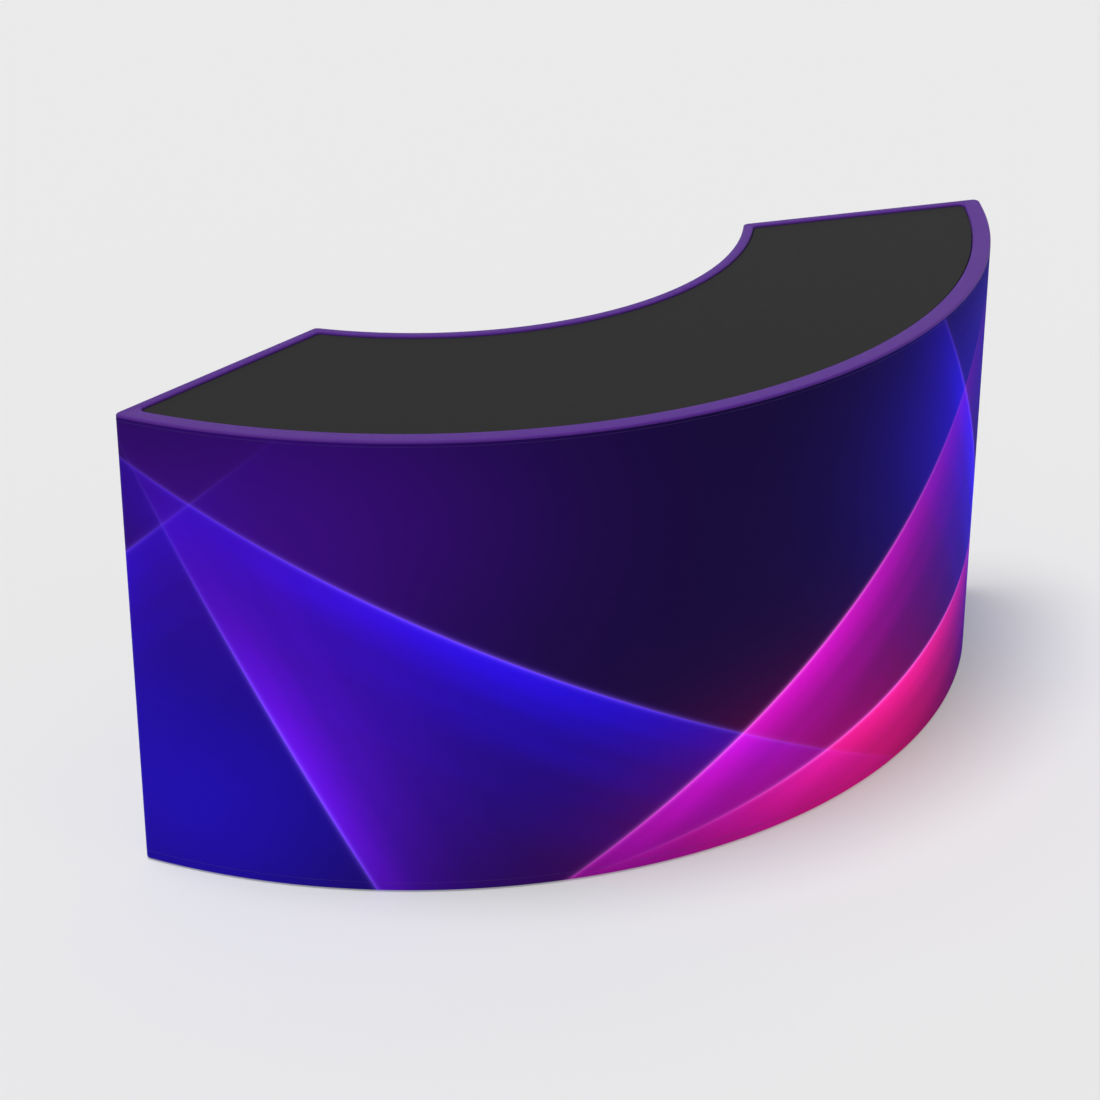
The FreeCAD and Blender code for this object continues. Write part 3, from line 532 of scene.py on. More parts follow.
cover = {}
panel_starts = {"front": -FRONT_HALF, "right": FRONT_HALF, "left": -FRONT_HALF - END_CLOTH}
for side, start in panel_starts.items():
    bm = cloth_panel(side, wall_rows(), start)
    cover[side] = thicken(new_piece(side + "_cloth", bm), CLOTH_THICKNESS)
print({side: len(piece.data.polygons) for side, piece in cover.items()})

# %% The back panel and its openings
ZIP_SLOT_LOW = 0.05
ZIP_SLOT_HIGH = 0.95
WINDOW_LOW = 0.043
WINDOW_HIGH = 0.085
EDGE_FOLD = 0.0005


def in_opening(point):
    """Whether a point of the back lies in the zip's slot or in the power window."""
    angle = plan_angle(point - ARC_CENTRE)
    from_zip = abs(angle - ZIP_ANGLE) * INNER_RADIUS
    from_window = abs(angle) * INNER_RADIUS
    in_slot = from_zip < ZIP_SLOT_HALF and ZIP_SLOT_LOW < point.z < ZIP_SLOT_HIGH
    in_window = from_window < WINDOW_HALF and WINDOW_LOW < point.z < WINDOW_HIGH
    return in_slot or in_window


edge_heights = []
for low, high in ((ZIP_SLOT_LOW, ZIP_SLOT_HIGH), (WINDOW_LOW, WINDOW_HIGH)):
    edge_heights += [low - EDGE_STITCH, low, high, high + EDGE_STITCH]
bm = cloth_panel("rear", wall_rows(edge_heights), 0)
opened = [face for face in bm.faces if in_opening(face.calc_center_median())]
rim = {vertex for face in opened for vertex in face.verts}
bmesh.ops.delete(bm, geom=opened, context="FACES")
for vertex in rim:
    if vertex.is_valid:
        vertex.co += plan_direction(plan_angle(vertex.co - ARC_CENTRE)) * EDGE_FOLD
print(len(opened), "faces of the back cut out")
cover["rear"] = thicken(new_piece("rear_cloth", bm), CLOTH_THICKNESS)

# %% [markdown]
# ## The border round the top
# The plain border rolls over the top ring from the seam, lies flat on it and turns down beside the
# dark panel. It is one closed sheet, so its rows run all the way round and are joined at the end.
# It is widest along the front, so each row has an inset there and a smaller one on the other sides.
# The corner rounding changes from row to row, because the outer and the inner edge are rounded alike.

# %% Border
SHOULDER = 0.005
BORDER_WIDTH = 0.040
BORDER_SLIMMER = 0.017
BORDER_CROWN = 0.0003
SHOULDER_ANGLES = (15, 35, 55, 75, 90)
FLAT_SHARES = (0.25, 0.5, 0.75)
LIP_INSET = 0.0002
LIP_RISE = 0.0005


def shoulder_rows():
    """Inset and height of the rows round one edge of the border, from its side to its top."""
    turns = [math.radians(angle) for angle in SHOULDER_ANGLES]
    return [(SHOULDER * (1 - math.cos(turn)), SEAM_Z + SHOULDER * math.sin(turn)) for turn in turns]


def border_rows():
    """Inset, slimming, corner radius and height of each row, from the seam to the flap inside."""
    flat = BORDER_WIDTH - 2 * SHOULDER
    outside = [(TUCK_DEPTH, SEAM_Z), (LIP_INSET, SEAM_Z + LIP_RISE)] + shoulder_rows()
    rows = [(inset, 0, CORNER_RADIUS - inset, height) for inset, height in outside]
    for share in FLAT_SHARES:
        rounding = CORNER_RADIUS - SHOULDER + 2 * SHOULDER * share
        rows.append((SHOULDER + flat * share, BORDER_SLIMMER * share, rounding, TOP_Z + BORDER_CROWN))
    inside = shoulder_rows()[::-1] + [(0, SEAM_Z), (0, (SEAM_Z + FLAP_Z) / 2), (0, FLAP_Z)]
    rows += [(BORDER_WIDTH - back, BORDER_SLIMMER, CORNER_RADIUS + back, height) for back, height in inside]
    return rows


border_points = []
for inset, slimmer, rounding, height in border_rows():
    line = plan_line(SIDES, inset, rounding, slimmer)
    border_points.append([point + UP * height for point in line])
bm, lines = sheet_through(border_points, 0)
ends = [line[end] for line in lines for end in (0, -1)]
bmesh.ops.remove_doubles(bm, verts=ends, dist=CLOTH_THICKNESS / 10)
face_along(bm, max(bm.faces, key=lambda face: face.calc_center_median().z), UP)
cover["border"] = thicken(new_piece("border_cloth", bm), CLOTH_THICKNESS)

# %% [markdown]
# ## Stitching
# A seam is hard to believe without its thread. Each stitch is one small ball, stretched along the
# seam, and the rows of them are made by the same moves as the cloth: here the spin leaves a copy
# behind at every step. To save time a short run of copies is made first and then copied as a block.


# %% Copies along moves
def shape_of(verts):
    """Everything that belongs to loose shapes, from their vertices."""
    edges = {edge for vertex in verts for edge in vertex.link_edges}
    faces = {face for vertex in verts for face in vertex.link_faces}
    return list(verts) + list(edges) + list(faces)


def spin_copies(bm, verts, centre, turn, run, steps):
    """Copies a shape steps times, by that turn and run each time, and returns the copies' vertices."""
    count = len(bm.verts)
    geom = shape_of(verts)
    bmesh.ops.spin(
        bm, geom=geom, cent=centre, axis=UP, dvec=run, angle=turn * steps, steps=steps, use_duplicate=True
    )
    bm.verts.ensure_lookup_table()
    return bm.verts[count:]


def repeat_along(bm, verts, moves):
    """Copies a shape along the moves, one copy at each step."""
    size = len(verts)
    for centre, turn, run, steps in moves:
        block = max(1, math.isqrt(steps))
        blocks, rest = divmod(steps, block)
        one = turn / steps
        first = spin_copies(bm, verts, centre + ARC_CENTRE, one, run, block)
        verts = first[-size:]
        if blocks > 1:
            verts = spin_copies(bm, first, centre + ARC_CENTRE, one * block, run * block, blocks - 1)[-size:]
        if rest:
            verts = spin_copies(bm, verts, centre + ARC_CENTRE, one, run, rest)[-size:]


# %% Rows of stitches
STITCH_PITCH = 0.006
STITCH_HALF = 0.0021
THREAD_RADIUS = 0.0004
STITCH_INSET = 0.0002
CORNER_STITCHES = 2
CORNER_STITCH_REACH = 0.0055
CORNER_STITCH_TURN = CORNER_STITCH_REACH / CORNER_RADIUS


def first_stitch(bm, place, direction):
    """The vertices of one stitch at a place, lying along direction."""
    turn = direction.to_track_quat("X", "Z").to_matrix().to_4x4()
    size = Matrix.Diagonal((STITCH_HALF, THREAD_RADIUS, THREAD_RADIUS, 1))
    matrix = Matrix.Translation(place) @ turn @ size
    return bmesh.ops.create_icosphere(bm, subdivisions=1, radius=1, matrix=matrix)["verts"]


def stitch_level(bm, start, moves, height):
    """A level row of stitches that starts with a corner."""
    tangent = UP.cross(start - moves[0][0]).normalized()
    place = start + ARC_CENTRE + UP * height
    repeat_along(bm, first_stitch(bm, place, tangent), moves)


def stitch_up(bm, place, low, high):
    """An upright row of stitches."""
    steps = step_count(high - low, STITCH_PITCH)
    verts = first_stitch(bm, place + UP * low, UP)
    repeat_along(bm, verts, [run_on(UP * (high - low), steps)])


def turned(point, centre, turn):
    """A point turned about an upright axis at the centre."""
    return centre + Matrix.Rotation(turn, 3, "Z") @ (point - centre)


def stitch_side(side):
    """The stitches of one panel: hem, top seam and both corner seams."""
    bm = bmesh.new()
    start, moves = footprint(STITCH_INSET, CORNER_RADIUS - STITCH_INSET, STITCH_PITCH, CORNER_STITCHES)[side]
    for height in (HEM_STITCH_Z, SEAM_STITCH_Z):
        stitch_level(bm, start, moves, height)
    low = HEM_STITCH_Z + STITCH_PITCH
    high = SEAM_STITCH_Z - STITCH_PITCH
    end = draw_line(start, moves)[-1] - ARC_CENTRE
    stitch_up(bm, turned(start, moves[0][0], CORNER_STITCH_TURN) + ARC_CENTRE, low, high)
    stitch_up(bm, turned(end, moves[-1][0], -CORNER_STITCH_TURN) + ARC_CENTRE, low, high)
    return bm


stitches = {side: stitch_side(side) for side in SIDES}
print("faces of thread", {side: len(bm.faces) for side, bm in stitches.items()})

# %% Stitches round the zip
bm = stitches["rear"]
half = ZIP_SLOT_HALF + EDGE_STITCH
zip_low = ZIP_SLOT_LOW - EDGE_STITCH
zip_high = ZIP_SLOT_HIGH + EDGE_STITCH
for side in (-half, half):
    place = ARC_CENTRE + plan_direction(ZIP_ANGLE + side / INNER_RADIUS) * INNER_RADIUS
    stitch_up(bm, place, zip_low, zip_high)
across = spun(Vector(), 2 * half / INNER_RADIUS, step_count(2 * half, STITCH_PITCH))
for height in (zip_low, zip_high):
    stitch_level(bm, plan_direction(ZIP_ANGLE - half / INNER_RADIUS) * INNER_RADIUS, [across], height)
thread = {side: new_piece(side + "_stitching", bm) for side, bm in stitches.items()}
print("stitched", list(thread))

# %% [markdown]
# ## The zip
# A long zip closes the back. Its two tapes are thin woven strips, so they are sheets of their own.
# Each coil is a row of small slanted beads, one half step up from the other row, which is what a
# nylon coil looks like from outside. Clips stop the slider at both ends, and a guard of plain cloth
# lies behind it all, so that no light from inside comes through.
# The zip stands on the back's arc, so it is drawn flat about its own place and then turned there.

# %% Place of the zip
ZIP_INWARD = plan_direction(ZIP_ANGLE)
ZIP_SIDE = UP.cross(ZIP_INWARD)
ZIP_ORIGIN = ARC_CENTRE + ZIP_INWARD * INNER_RADIUS
ZIP_PLACE = Matrix.Translation(ZIP_ORIGIN) @ Matrix((ZIP_SIDE, ZIP_INWARD, UP)).transposed().to_4x4()
ZIP_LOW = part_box("zip_tapes")[0].z
ZIP_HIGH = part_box("zip_tapes")[1].z
print("zip from", round(ZIP_LOW, 3), "to", round(ZIP_HIGH, 3), "m")

# %% Tapes
TAPE_THICKNESS = 0.0006
TAPE_PROFILE = (
    (0.0009, 0.0012), (0.0034, 0.0012), (0.0041, 0.0010), (0.0048, 0.0010),
    (0.0055, 0.0012), (0.0120, 0.0012), (0.0170, 0.0011), (0.0205, 0.0011),
)
TAPE_ROWS = 12


def zip_strip(name, profile):
    """An upright strip of the zip, with that profile of places across it and depths."""
    rows = []
    for number in range(TAPE_ROWS + 1):
        height = ZIP_LOW + (ZIP_HIGH - ZIP_LOW) * number / TAPE_ROWS
        rows.append([ZIP_PLACE @ Vector((x, depth, height)) for x, depth in profile])
    bm, lines = sheet_through(rows, 0)
    face_along(bm, lines[0][0].link_faces[0], -ZIP_INWARD)
    return new_piece(name, bm)


def zip_tape(side):
    """One tape, on the side given as -1 or 1."""
    profile = [(side * x, depth) for x, depth in TAPE_PROFILE]
    return zip_strip("zip_tape_right" if side > 0 else "zip_tape_left", profile)


tapes = [thicken(zip_tape(side), TAPE_THICKNESS) for side in (-1, 1)]

# %% Guard behind the zip
GUARD_PROFILE = (
    (-0.0205, 0.0022), (-0.0165, 0.0022), (-0.0135, 0.0030), (-0.0105, 0.0048),
    (-0.0070, 0.0058), (0.0000, 0.0062), (0.0080, 0.0060), (0.0150, 0.0054),
)

guard = thicken(zip_strip("zip_guard", GUARD_PROFILE), TAPE_THICKNESS)

# %% Coils
TOOTH_HALF = Vector((0.00136, 0.00084, 0.00062))
TOOTH_CENTRE = Vector((0.00192, 0.00010, 0))
TOOTH_SLANT = math.radians(14)
TOOTH_PITCH = 0.0016
TOOTH_SEGMENTS = 8
TOOTH_RINGS = 5
COIL_LOW = 0.058
COIL_HIGH = 0.942


def coil_row(bm, side, low):
    """One row of beads, slanted down towards the middle."""
    shape = Matrix.Rotation(side * TOOTH_SLANT, 4, "Y") @ Matrix.Diagonal((*TOOTH_HALF, 1))
    place = Matrix.Translation(Vector((side * TOOTH_CENTRE.x, TOOTH_CENTRE.y, low)))
    bead = bmesh.ops.create_uvsphere(
        bm, u_segments=TOOTH_SEGMENTS, v_segments=TOOTH_RINGS, radius=1, matrix=ZIP_PLACE @ place @ shape
    )["verts"]
    steps = int((COIL_HIGH - low) / TOOTH_PITCH)
    repeat_along(bm, bead, [run_on(UP * TOOTH_PITCH * steps, steps)])


bm = bmesh.new()
coil_row(bm, -1, COIL_LOW)
coil_row(bm, 1, COIL_LOW + TOOTH_PITCH / 2)
coils = new_piece("zip_coils", bm)
print("coil beads", len(coils.data.polygons), "faces")

# %% Stops
STOP_SIZE = Vector((0.0064, 0.0022, 0.0034))
STOP_BEVEL = 0.0005


def soft_blocks(name, places, size, bevel):
    """One piece of equal blocks with softened edges, one at each place."""
    bm = bmesh.new()
    for place in places:
        bmesh.ops.create_cube(bm, size=1, matrix=place @ Matrix.Diagonal((*size, 1)))
    bmesh.ops.bevel(
        bm, geom=bm.edges[:], offset=bevel, segments=2, profile=0.5, affect="EDGES", material=-1
    )
    return new_piece(name, bm)


stop_heights = (COIL_LOW - STOP_SIZE.z, COIL_HIGH + STOP_SIZE.z)
places = [ZIP_PLACE @ Matrix.Translation((0, TOOTH_CENTRE.y, height)) for height in stop_heights]
stops = soft_blocks("zip_stops", places, STOP_SIZE, STOP_BEVEL)
print("stops at", [round(height, 4) for height in stop_heights])

# %% [markdown]
# ## Small things on the power unit
# The inlet's three blades are bare metal in a black body, and the rocker has a line and a ring to
# show on and off. Both are too small for the CAD's colours, so they are thin pieces of their own:
# cubes with a bevel over the blades, and a cube and an inset circle on the rocker's two faces.

# %% Blades of the inlet
INLET_X = 0.016
POWER_Z = (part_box("power_bezel")[0].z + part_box("power_bezel")[1].z) / 2
BLADE_SIZE = Vector((0.0021, 0.0091, 0.0041))
BLADE_DEPTH = 0.01117
BLADE_BEVEL = 0.0003
BLADES = ((-0.007, -0.003), (0, 0.003), (0.007, -0.003))
WALL_MIDDLE = ARC_CENTRE - Vector((0, INNER_RADIUS, 0)) + UP * POWER_Z

from_wall = [Vector((INLET_X + across, -BLADE_DEPTH, rise)) for across, rise in BLADES]
places = [Matrix.Translation(WALL_MIDDLE + step) for step in from_wall]
blades = soft_blocks("inlet_blades", places, BLADE_SIZE, BLADE_BEVEL)
print("blades at", round(WALL_MIDDLE.y - BLADE_DEPTH, 4))

# %% Marks of the rocker
ROCKER_X = -0.024
ROCKER_PIVOT = 0.004
ROCKER_TILT = math.radians(10)
MARK_REACH = 0.00728
MARK_RISE = 0.00425
MARK_THICKNESS = 0.00008
LINE_SIZE = Vector((0.0005, MARK_THICKNESS, 0.0034))
RING_RADIUS = 0.0017
RING_WIDTH = 0.0005
RING_SEGMENTS = 24


def rocker_face(side):
    """Place on the rocker's upper face, for 1, or on its lower one, for -1."""
    pivot = Matrix.Translation(WALL_MIDDLE + Vector((ROCKER_X, -ROCKER_PIVOT, 0)))
    out = Matrix.Translation(Vector((0, MARK_REACH, side * MARK_RISE)))
    return pivot @ Matrix.Rotation(ROCKER_TILT, 4, "X") @ out @ Matrix.Rotation(-side * ROCKER_TILT, 4, "X")


bm = bmesh.new()
bmesh.ops.create_cube(bm, size=1, matrix=rocker_face(1) @ Matrix.Diagonal((*LINE_SIZE, 1)))
on_face = rocker_face(-1) @ Matrix.Rotation(math.radians(-90), 4, "X")
disc = bmesh.ops.create_circle(
    bm, cap_ends=True, segments=RING_SEGMENTS, radius=RING_RADIUS, matrix=on_face
)
face = disc["verts"][0].link_faces[0]
rim = bmesh.ops.inset_region(bm, faces=[face], use_boundary=True, thickness=RING_WIDTH)["faces"]
bmesh.ops.delete(bm, geom=[face], context="FACES")
bmesh.ops.solidify(bm, geom=rim, thickness=MARK_THICKNESS)
bmesh.ops.recalc_face_normals(bm, faces=bm.faces)
marks = new_piece("rocker_marks", bm)
print("marks", len(marks.data.polygons), "faces")

# %% [markdown]
# ## Springs behind the snap buttons
# A coil spring pushes each button out, and pressing the button halves the spring. The CAD's springs
# keep their length, so each gets a coil of its own: a ring of wire spun round the button's axis while
# it moves along, as a spring is wound. The button's own mesh tells where its back is.

# %% Springs
SPRING_ROOM = 0.011
SPRING_RADIUS = 0.0028
SPRING_WIRE = 0.0004
SPRING_END_GAP = 0.0001
SPRING_TURNS = 5
STEPS_PER_TURN = 24
WIRE_SEGMENTS = 8


def middle_along(points, direction):
    """Middle of some points along a direction."""
    places = [point.dot(direction) for point in points]
    return (min(places) + max(places)) / 2


def bore_end(button, along):
    """The point on a button's axis where its bore ends."""
    points = [vertex.co for vertex in button.data.vertices]
    back = min(point.dot(along) for point in points) - SPRING_ROOM
    across = along.cross(UP)
    return along * back + across * middle_along(points, across) + UP * middle_along(points, UP)


def coil_spring(name, end, along):
    """A coil spring in the bore that ends at a point."""
    first_place = Matrix.Translation((SPRING_RADIUS, 0, SPRING_WIRE + SPRING_END_GAP))
    length = SPRING_ROOM - 2 * (SPRING_WIRE + SPRING_END_GAP)
    steps = SPRING_TURNS * STEPS_PER_TURN
    bm = bmesh.new()
    upright = Matrix.Rotation(math.radians(90), 4, "X")
    bmesh.ops.create_circle(bm, segments=WIRE_SEGMENTS, radius=SPRING_WIRE, matrix=first_place @ upright)
    bmesh.ops.spin(
        bm, geom=bm.edges[:], cent=(0, 0, 0), axis=UP, dvec=UP * length / steps,
        angle=SPRING_TURNS * math.tau, steps=steps,
    )
    bmesh.ops.holes_fill(bm, edges=[edge for edge in bm.edges if edge.is_boundary])
    bmesh.ops.recalc_face_normals(bm, faces=bm.faces)
    turn = along.to_track_quat("Z", "X").to_matrix().to_4x4()
    bmesh.ops.transform(bm, matrix=Matrix.Translation(end) @ turn, verts=bm.verts)
    return new_piece(name, bm)


joints = frame["record"]["behaviour"]["joints"]
presses = [joint for joint in joints if joint["name"].endswith("_press")]
springs = []
bore_ends = []
for press in presses:
    along = Vector(press["axis"])
    bore_ends.append(bore_end(frame["nodes"][press["child"]], along))
    name = press["child"].replace("snap_button", "button_spring")
    springs.append(coil_spring(name, bore_ends[-1], along))
print(len(springs), "springs of", len(springs[0].data.polygons), "faces")

# %% [markdown]
# ## Effects that several finishes share
# Cloth, metal and plastic all need some variation, or they look like paint. Each effect is a node
# group, built once: a knit for the cloths, a grain for everything else, and the two lights
# that the printed front is drawn with.


# %% Node groups
def new_group(name, inputs, outputs):
    """A shader node group with its named sockets, and both ends of it."""
    group = bpy.data.node_groups.new(name, "ShaderNodeTree")
    for socket, kind in inputs.items():
        group.interface.new_socket(socket, in_out="INPUT", socket_type="NodeSocket" + kind)
    for socket in outputs:
        group.interface.new_socket(socket, in_out="OUTPUT", socket_type="NodeSocketFloat")
    return group, group.nodes.new("NodeGroupInput").outputs, group.nodes.new("NodeGroupOutput").inputs


def use_group(tree, group, **inputs):
    """Places a group in a material and returns its outputs."""
    node = tree.nodes.new("ShaderNodeGroup")
    node.node_tree = group
    for name, value in inputs.items():
        put(tree, node.inputs[name], value)
    return node.outputs


def parts_of(tree, vector):
    """The three parts of a vector."""
    return add_node(tree, "SeparateXYZ", {"Vector": vector}).outputs


def remap(tree, value, low, high):
    """A value of 0 to 1, moved to low and high."""
    node = add_node(tree, "MapRange", {"Value": value, "To Min": low, "To Max": high})
    return node.outputs["Result"]


def product(tree, first, *others):
    """Values multiplied one after the other."""
    for other in others:
        first = maths(tree, "MULTIPLY", first, other)
    return first


def vector_maths(tree, operation, first, second):
    """The result of one operation on two vectors."""
    node = add_node(tree, "VectorMath", {0: first, 1: second}, operation=operation)
    return node.outputs["Value" if operation == "DOT_PRODUCT" else "Vector"]


# %% Knit
KNIT_SLANT = 1.1
KNIT_HOLLOW_SHADE = 0.045

knit, source, result = new_group("knit", {"Vector": "Vector", "Pitch": "Float"}, ["Height", "Shade"])
across, along = parts_of(knit, source["Vector"])[:2]
turns = maths(knit, "DIVIDE", 2 * math.pi, source["Pitch"])
wale = maths(knit, "SINE", maths(knit, "MULTIPLY", across, turns))
slant = maths(knit, "MULTIPLY", wale, KNIT_SLANT)
course = maths(knit, "SINE", maths(knit, "ADD", maths(knit, "MULTIPLY", along, turns), slant))
both = maths(knit, "ADD", wale, course)
# Both waves together run from -2 to 2, and the height from 0 to 1
put(knit, result["Height"], maths(knit, "MULTIPLY_ADD", both, 1 / 4, 1 / 2))
# The shade output paints shade into the colour: darker in the knit's hollows, lighter on its raised loops
put(knit, result["Shade"], maths(knit, "MULTIPLY_ADD", both, KNIT_HOLLOW_SHADE, 1.0))
print("knit group", len(knit.nodes), "nodes")

# %% Grain
grain, source, result = new_group(
    "grain", {"Vector": "Vector", "Stretch": "Vector", "Low": "Float", "High": "Float"}, ["Value", "Height"]
)
place = vector_maths(grain, "MULTIPLY", source["Vector"], source["Stretch"])
noise = add_node(grain, "TexNoise", {"Vector": place, "Scale": 1.0, "Detail": 3.0, "Roughness": 0.55})
put(grain, result["Height"], noise.outputs["Fac"])
put(grain, result["Value"], remap(grain, noise.outputs["Fac"], source["Low"], source["High"]))
print("grain group", len(grain.nodes), "nodes")

# %% Light with a sharp edge
EDGE_LINE = 0.0034
STREAKS = Vector((0.9, 13.0, 1.0))
FAINTEST_STREAK = 0.45
BRIGHTEST_STREAK = 1.35

light_edge, source, result = new_group(
    "light_edge",
    {"Vector": "Vector", "Anchor": "Vector", "Turn": "Vector", "Reach": "Float", "Length": "Float"},
    ["Glow", "Line"],
)
local = add_node(
    light_edge, "Mapping",
    {"Vector": source["Vector"], "Location": source["Anchor"], "Rotation": source["Turn"]},
    vector_type="TEXTURE",
).outputs["Vector"]
run, off = parts_of(light_edge, local)[:2]
reached = maths(light_edge, "DIVIDE", run, source["Length"])
fade = maths(light_edge, "EXPONENT", product(light_edge, reached, reached, -1.0))
below = maths(light_edge, "LESS_THAN", off, 0.0)
depth = maths(light_edge, "MINIMUM", off, 0.0)
soft = maths(light_edge, "EXPONENT", maths(light_edge, "DIVIDE", depth, source["Reach"]))
fine = vector_maths(light_edge, "MULTIPLY", local, STREAKS)
streak = add_node(light_edge, "TexNoise", {"Vector": fine, "Scale": 1.0, "Detail": 2.0}).outputs["Fac"]
streaky = remap(light_edge, streak, FAINTEST_STREAK, BRIGHTEST_STREAK)
put(light_edge, result["Glow"], product(light_edge, soft, below, streaky, fade))
near = maths(light_edge, "DIVIDE", maths(light_edge, "ABSOLUTE", off), -EDGE_LINE)
put(light_edge, result["Line"], product(light_edge, maths(light_edge, "EXPONENT", near), fade))
print("light edge group", len(light_edge.nodes), "nodes")

# %% Light without an edge
soft_glow, source, result = new_group(
    "soft_glow", {"Vector": "Vector", "Centre": "Vector", "Size": "Vector"}, ["Glow"]
)
from_centre = vector_maths(soft_glow, "SUBTRACT", source["Vector"], source["Centre"])
scaled = vector_maths(soft_glow, "DIVIDE", from_centre, source["Size"])
squared = vector_maths(soft_glow, "DOT_PRODUCT", scaled, scaled)
put(soft_glow, result["Glow"], maths(soft_glow, "EXPONENT", product(soft_glow, squared, -1.0)))
print("soft glow group", len(soft_glow.nodes), "nodes")

# %% [markdown]
# ## The printed front
# The front and the ends carry a print that is lit from inside. An image would be the usual way, but
# this design is drawn in the shader: dark indigo, a few soft lights on it, and straight edges with
# light spilling from one side. The map is in metres, with the middle of the front at 0, so the
# ends continue the design round the corners. The light inside stands on the bottom ring, so the
# print glows a little more towards the floor.

# %% Lights of the print
INDIGO = (0.006, 0.0015, 0.034)
BLUE = (0.012, 0.002, 0.80)
VIOLET = (0.13, 0.003, 0.56)
DEEP_VIOLET = (0.075, 0.001, 0.36)
MAGENTA = (0.72, 0.003, 0.60)
ROSE = (0.86, 0.010, 0.24)
RED = (0.70, 0.004, 0.035)
PALE_BLUE = (0.22, 0.09, 1.0)
PALE_PINK = (1.0, 0.16, 0.92)

SOFT_LIGHTS = (
    ((0.28, -0.02), (0.46, 0.26), RED),
    ((-0.98, 0.86), (0.46, 0.30), DEEP_VIOLET),
    ((-1.20, 0.18), (0.36, 0.30), BLUE),
    ((0.86, 0.80), (0.42, 0.26), BLUE),
    ((1.30, 0.25), (0.36, 0.40), BLUE),
    ((-1.72, 0.70), (0.30, 0.34), DEEP_VIOLET),
    ((1.78, 0.05), (0.28, 0.30), MAGENTA),
)
SHARP_LIGHTS = (
    ((-0.62, 0.56), -27, 0.15, 0.66, BLUE, PALE_BLUE),
    ((0.10, 0.36), 33, 0.13, 0.56, MAGENTA, PALE_PINK),
    ((-0.98, 0.30), 118, 0.13, 0.42, VIOLET, PALE_BLUE),
    ((0.46, 0.20), 12, 0.12, 0.46, ROSE, PALE_PINK),
    ((0.92, 0.56), -52, 0.18, 0.46, BLUE, PALE_BLUE),
    ((-1.60, 0.48), 41, 0.14, 0.40, BLUE, PALE_BLUE),
    ((1.62, 0.42), 148, 0.14, 0.42, VIOLET, PALE_PINK),
)
SOFT_SHARE = 0.30
SHARP_SHARE = 0.80
LINE_SHARE = 0.56


def add_light(tree, total, colour, share, mask):
    """The running total with a colour added, as strong as the mask."""
    node = add_node(tree, "VectorMath", operation="MULTIPLY_ADD")
    put(tree, node.inputs[0], [share * part for part in colour])
    put(tree, node.inputs[1], mask)
    put(tree, node.inputs[2], total)
    return node.outputs[0]


def printed_colour(tree, place):
    """The colour of the print at a place of its map."""
    total = INDIGO
    for centre, size, colour in SOFT_LIGHTS:
        lit = use_group(tree, soft_glow, Vector=place, Centre=(*centre, 0), Size=(*size, 1))
        total = add_light(tree, total, colour, SOFT_SHARE, lit["Glow"])
    for anchor, degrees, reach, length, colour, edge in SHARP_LIGHTS:
        turn = (0, 0, math.radians(degrees))
        lit = use_group(
            tree, light_edge, Vector=place, Anchor=(*anchor, 0), Turn=turn, Reach=reach, Length=length
        )
        total = add_light(tree, total, colour, SHARP_SHARE, lit["Glow"])
        total = add_light(tree, total, edge, LINE_SHARE, lit["Line"])
    return total


print(len(SOFT_LIGHTS), "soft and", len(SHARP_LIGHTS), "sharp lights")

# %% Knitted cloth
KNIT_PITCH = 0.0012
KNIT_DEPTH = 0.00022


def scaled_colour(tree, colour, factor):
    """A colour times a factor."""
    node = add_node(tree, "VectorMath", {0: colour, "Scale": factor}, operation="SCALE")
    return node.outputs[0]


def cloth_map(tree):
    """The cloth's own map, in metres."""
    return add_node(tree, "UVMap", uv_map="cloth_map").outputs["UV"]


def bumped(tree, shader, height, depth):
    """Feeds a height to the shader's normal."""
    bump = add_node(tree, "Bump", {"Height": height, "Strength": 1.0, "Distance": depth})
    put(tree, shader.inputs["Normal"], bump.outputs["Normal"])


def knitted(tree, shader, place, colour, pitch, depth):
    """Gives a cloth its knit, in relief and in painted shade that darkens its hollows and lightens its
    loops.
    """
    yarn = use_group(tree, knit, Vector=place, Pitch=pitch)
    shaded = scaled_colour(tree, colour, yarn["Shade"])
    put(tree, shader.inputs["Base Color"], shaded)
    bumped(tree, shader, yarn["Height"], depth)
    return shaded


print("loops every", KNIT_PITCH * 1000, "mm")

# %% Print and plain cloth
BACKLIGHT = 0.62
BACKLIGHT_TOP = 0.72
BACKLIGHT_BASE = 1.15
PLAIN_PURPLE = (0.088, 0.0185, 0.252)
PATCH_STRETCH = (3, 9, 1)
PATCH_SHADE = 0.06
PRINTED_SIDES = ("front", "left", "right")
PLAIN_SIDES = ("rear", "border")

print_cloth, tree, shader = new_material("backlit_print", Roughness=0.8, Specular_IOR_Level=0.06)
place = cloth_map(tree)
colour = printed_colour(tree, place)
shaded = knitted(tree, shader, place, colour, KNIT_PITCH, KNIT_DEPTH)
lit = remap(tree, parts_of(tree, place)[1], BACKLIGHT_BASE, BACKLIGHT_TOP)
put(tree, shader.inputs["Emission Color"], scaled_colour(tree, shaded, lit))
shader.inputs["Emission Strength"].default_value = BACKLIGHT

plain_cloth, tree, shader = new_material(
    "plain_purple_cloth", Roughness=0.48, Specular_IOR_Level=0.10, Sheen_Weight=0.05, Sheen_Roughness=0.4
)
place = cloth_map(tree)
patchy = use_group(
    tree, grain, Vector=place, Stretch=PATCH_STRETCH, Low=1 - PATCH_SHADE, High=1 + PATCH_SHADE
)
colour = scaled_colour(tree, PLAIN_PURPLE, patchy["Value"])
knitted(tree, shader, place, colour, KNIT_PITCH, KNIT_DEPTH)

for side in PRINTED_SIDES:
    cover[side].data.materials.append(print_cloth)
for side in PLAIN_SIDES:
    cover[side].data.materials.append(plain_cloth)
print("print has", len(print_cloth.node_tree.nodes), "nodes")

# %% Zip tape
TAPE_PURPLE = (0.050, 0.020, 0.140)
TAPE_PITCH = 0.0009
TAPE_RELIEF = 0.00012

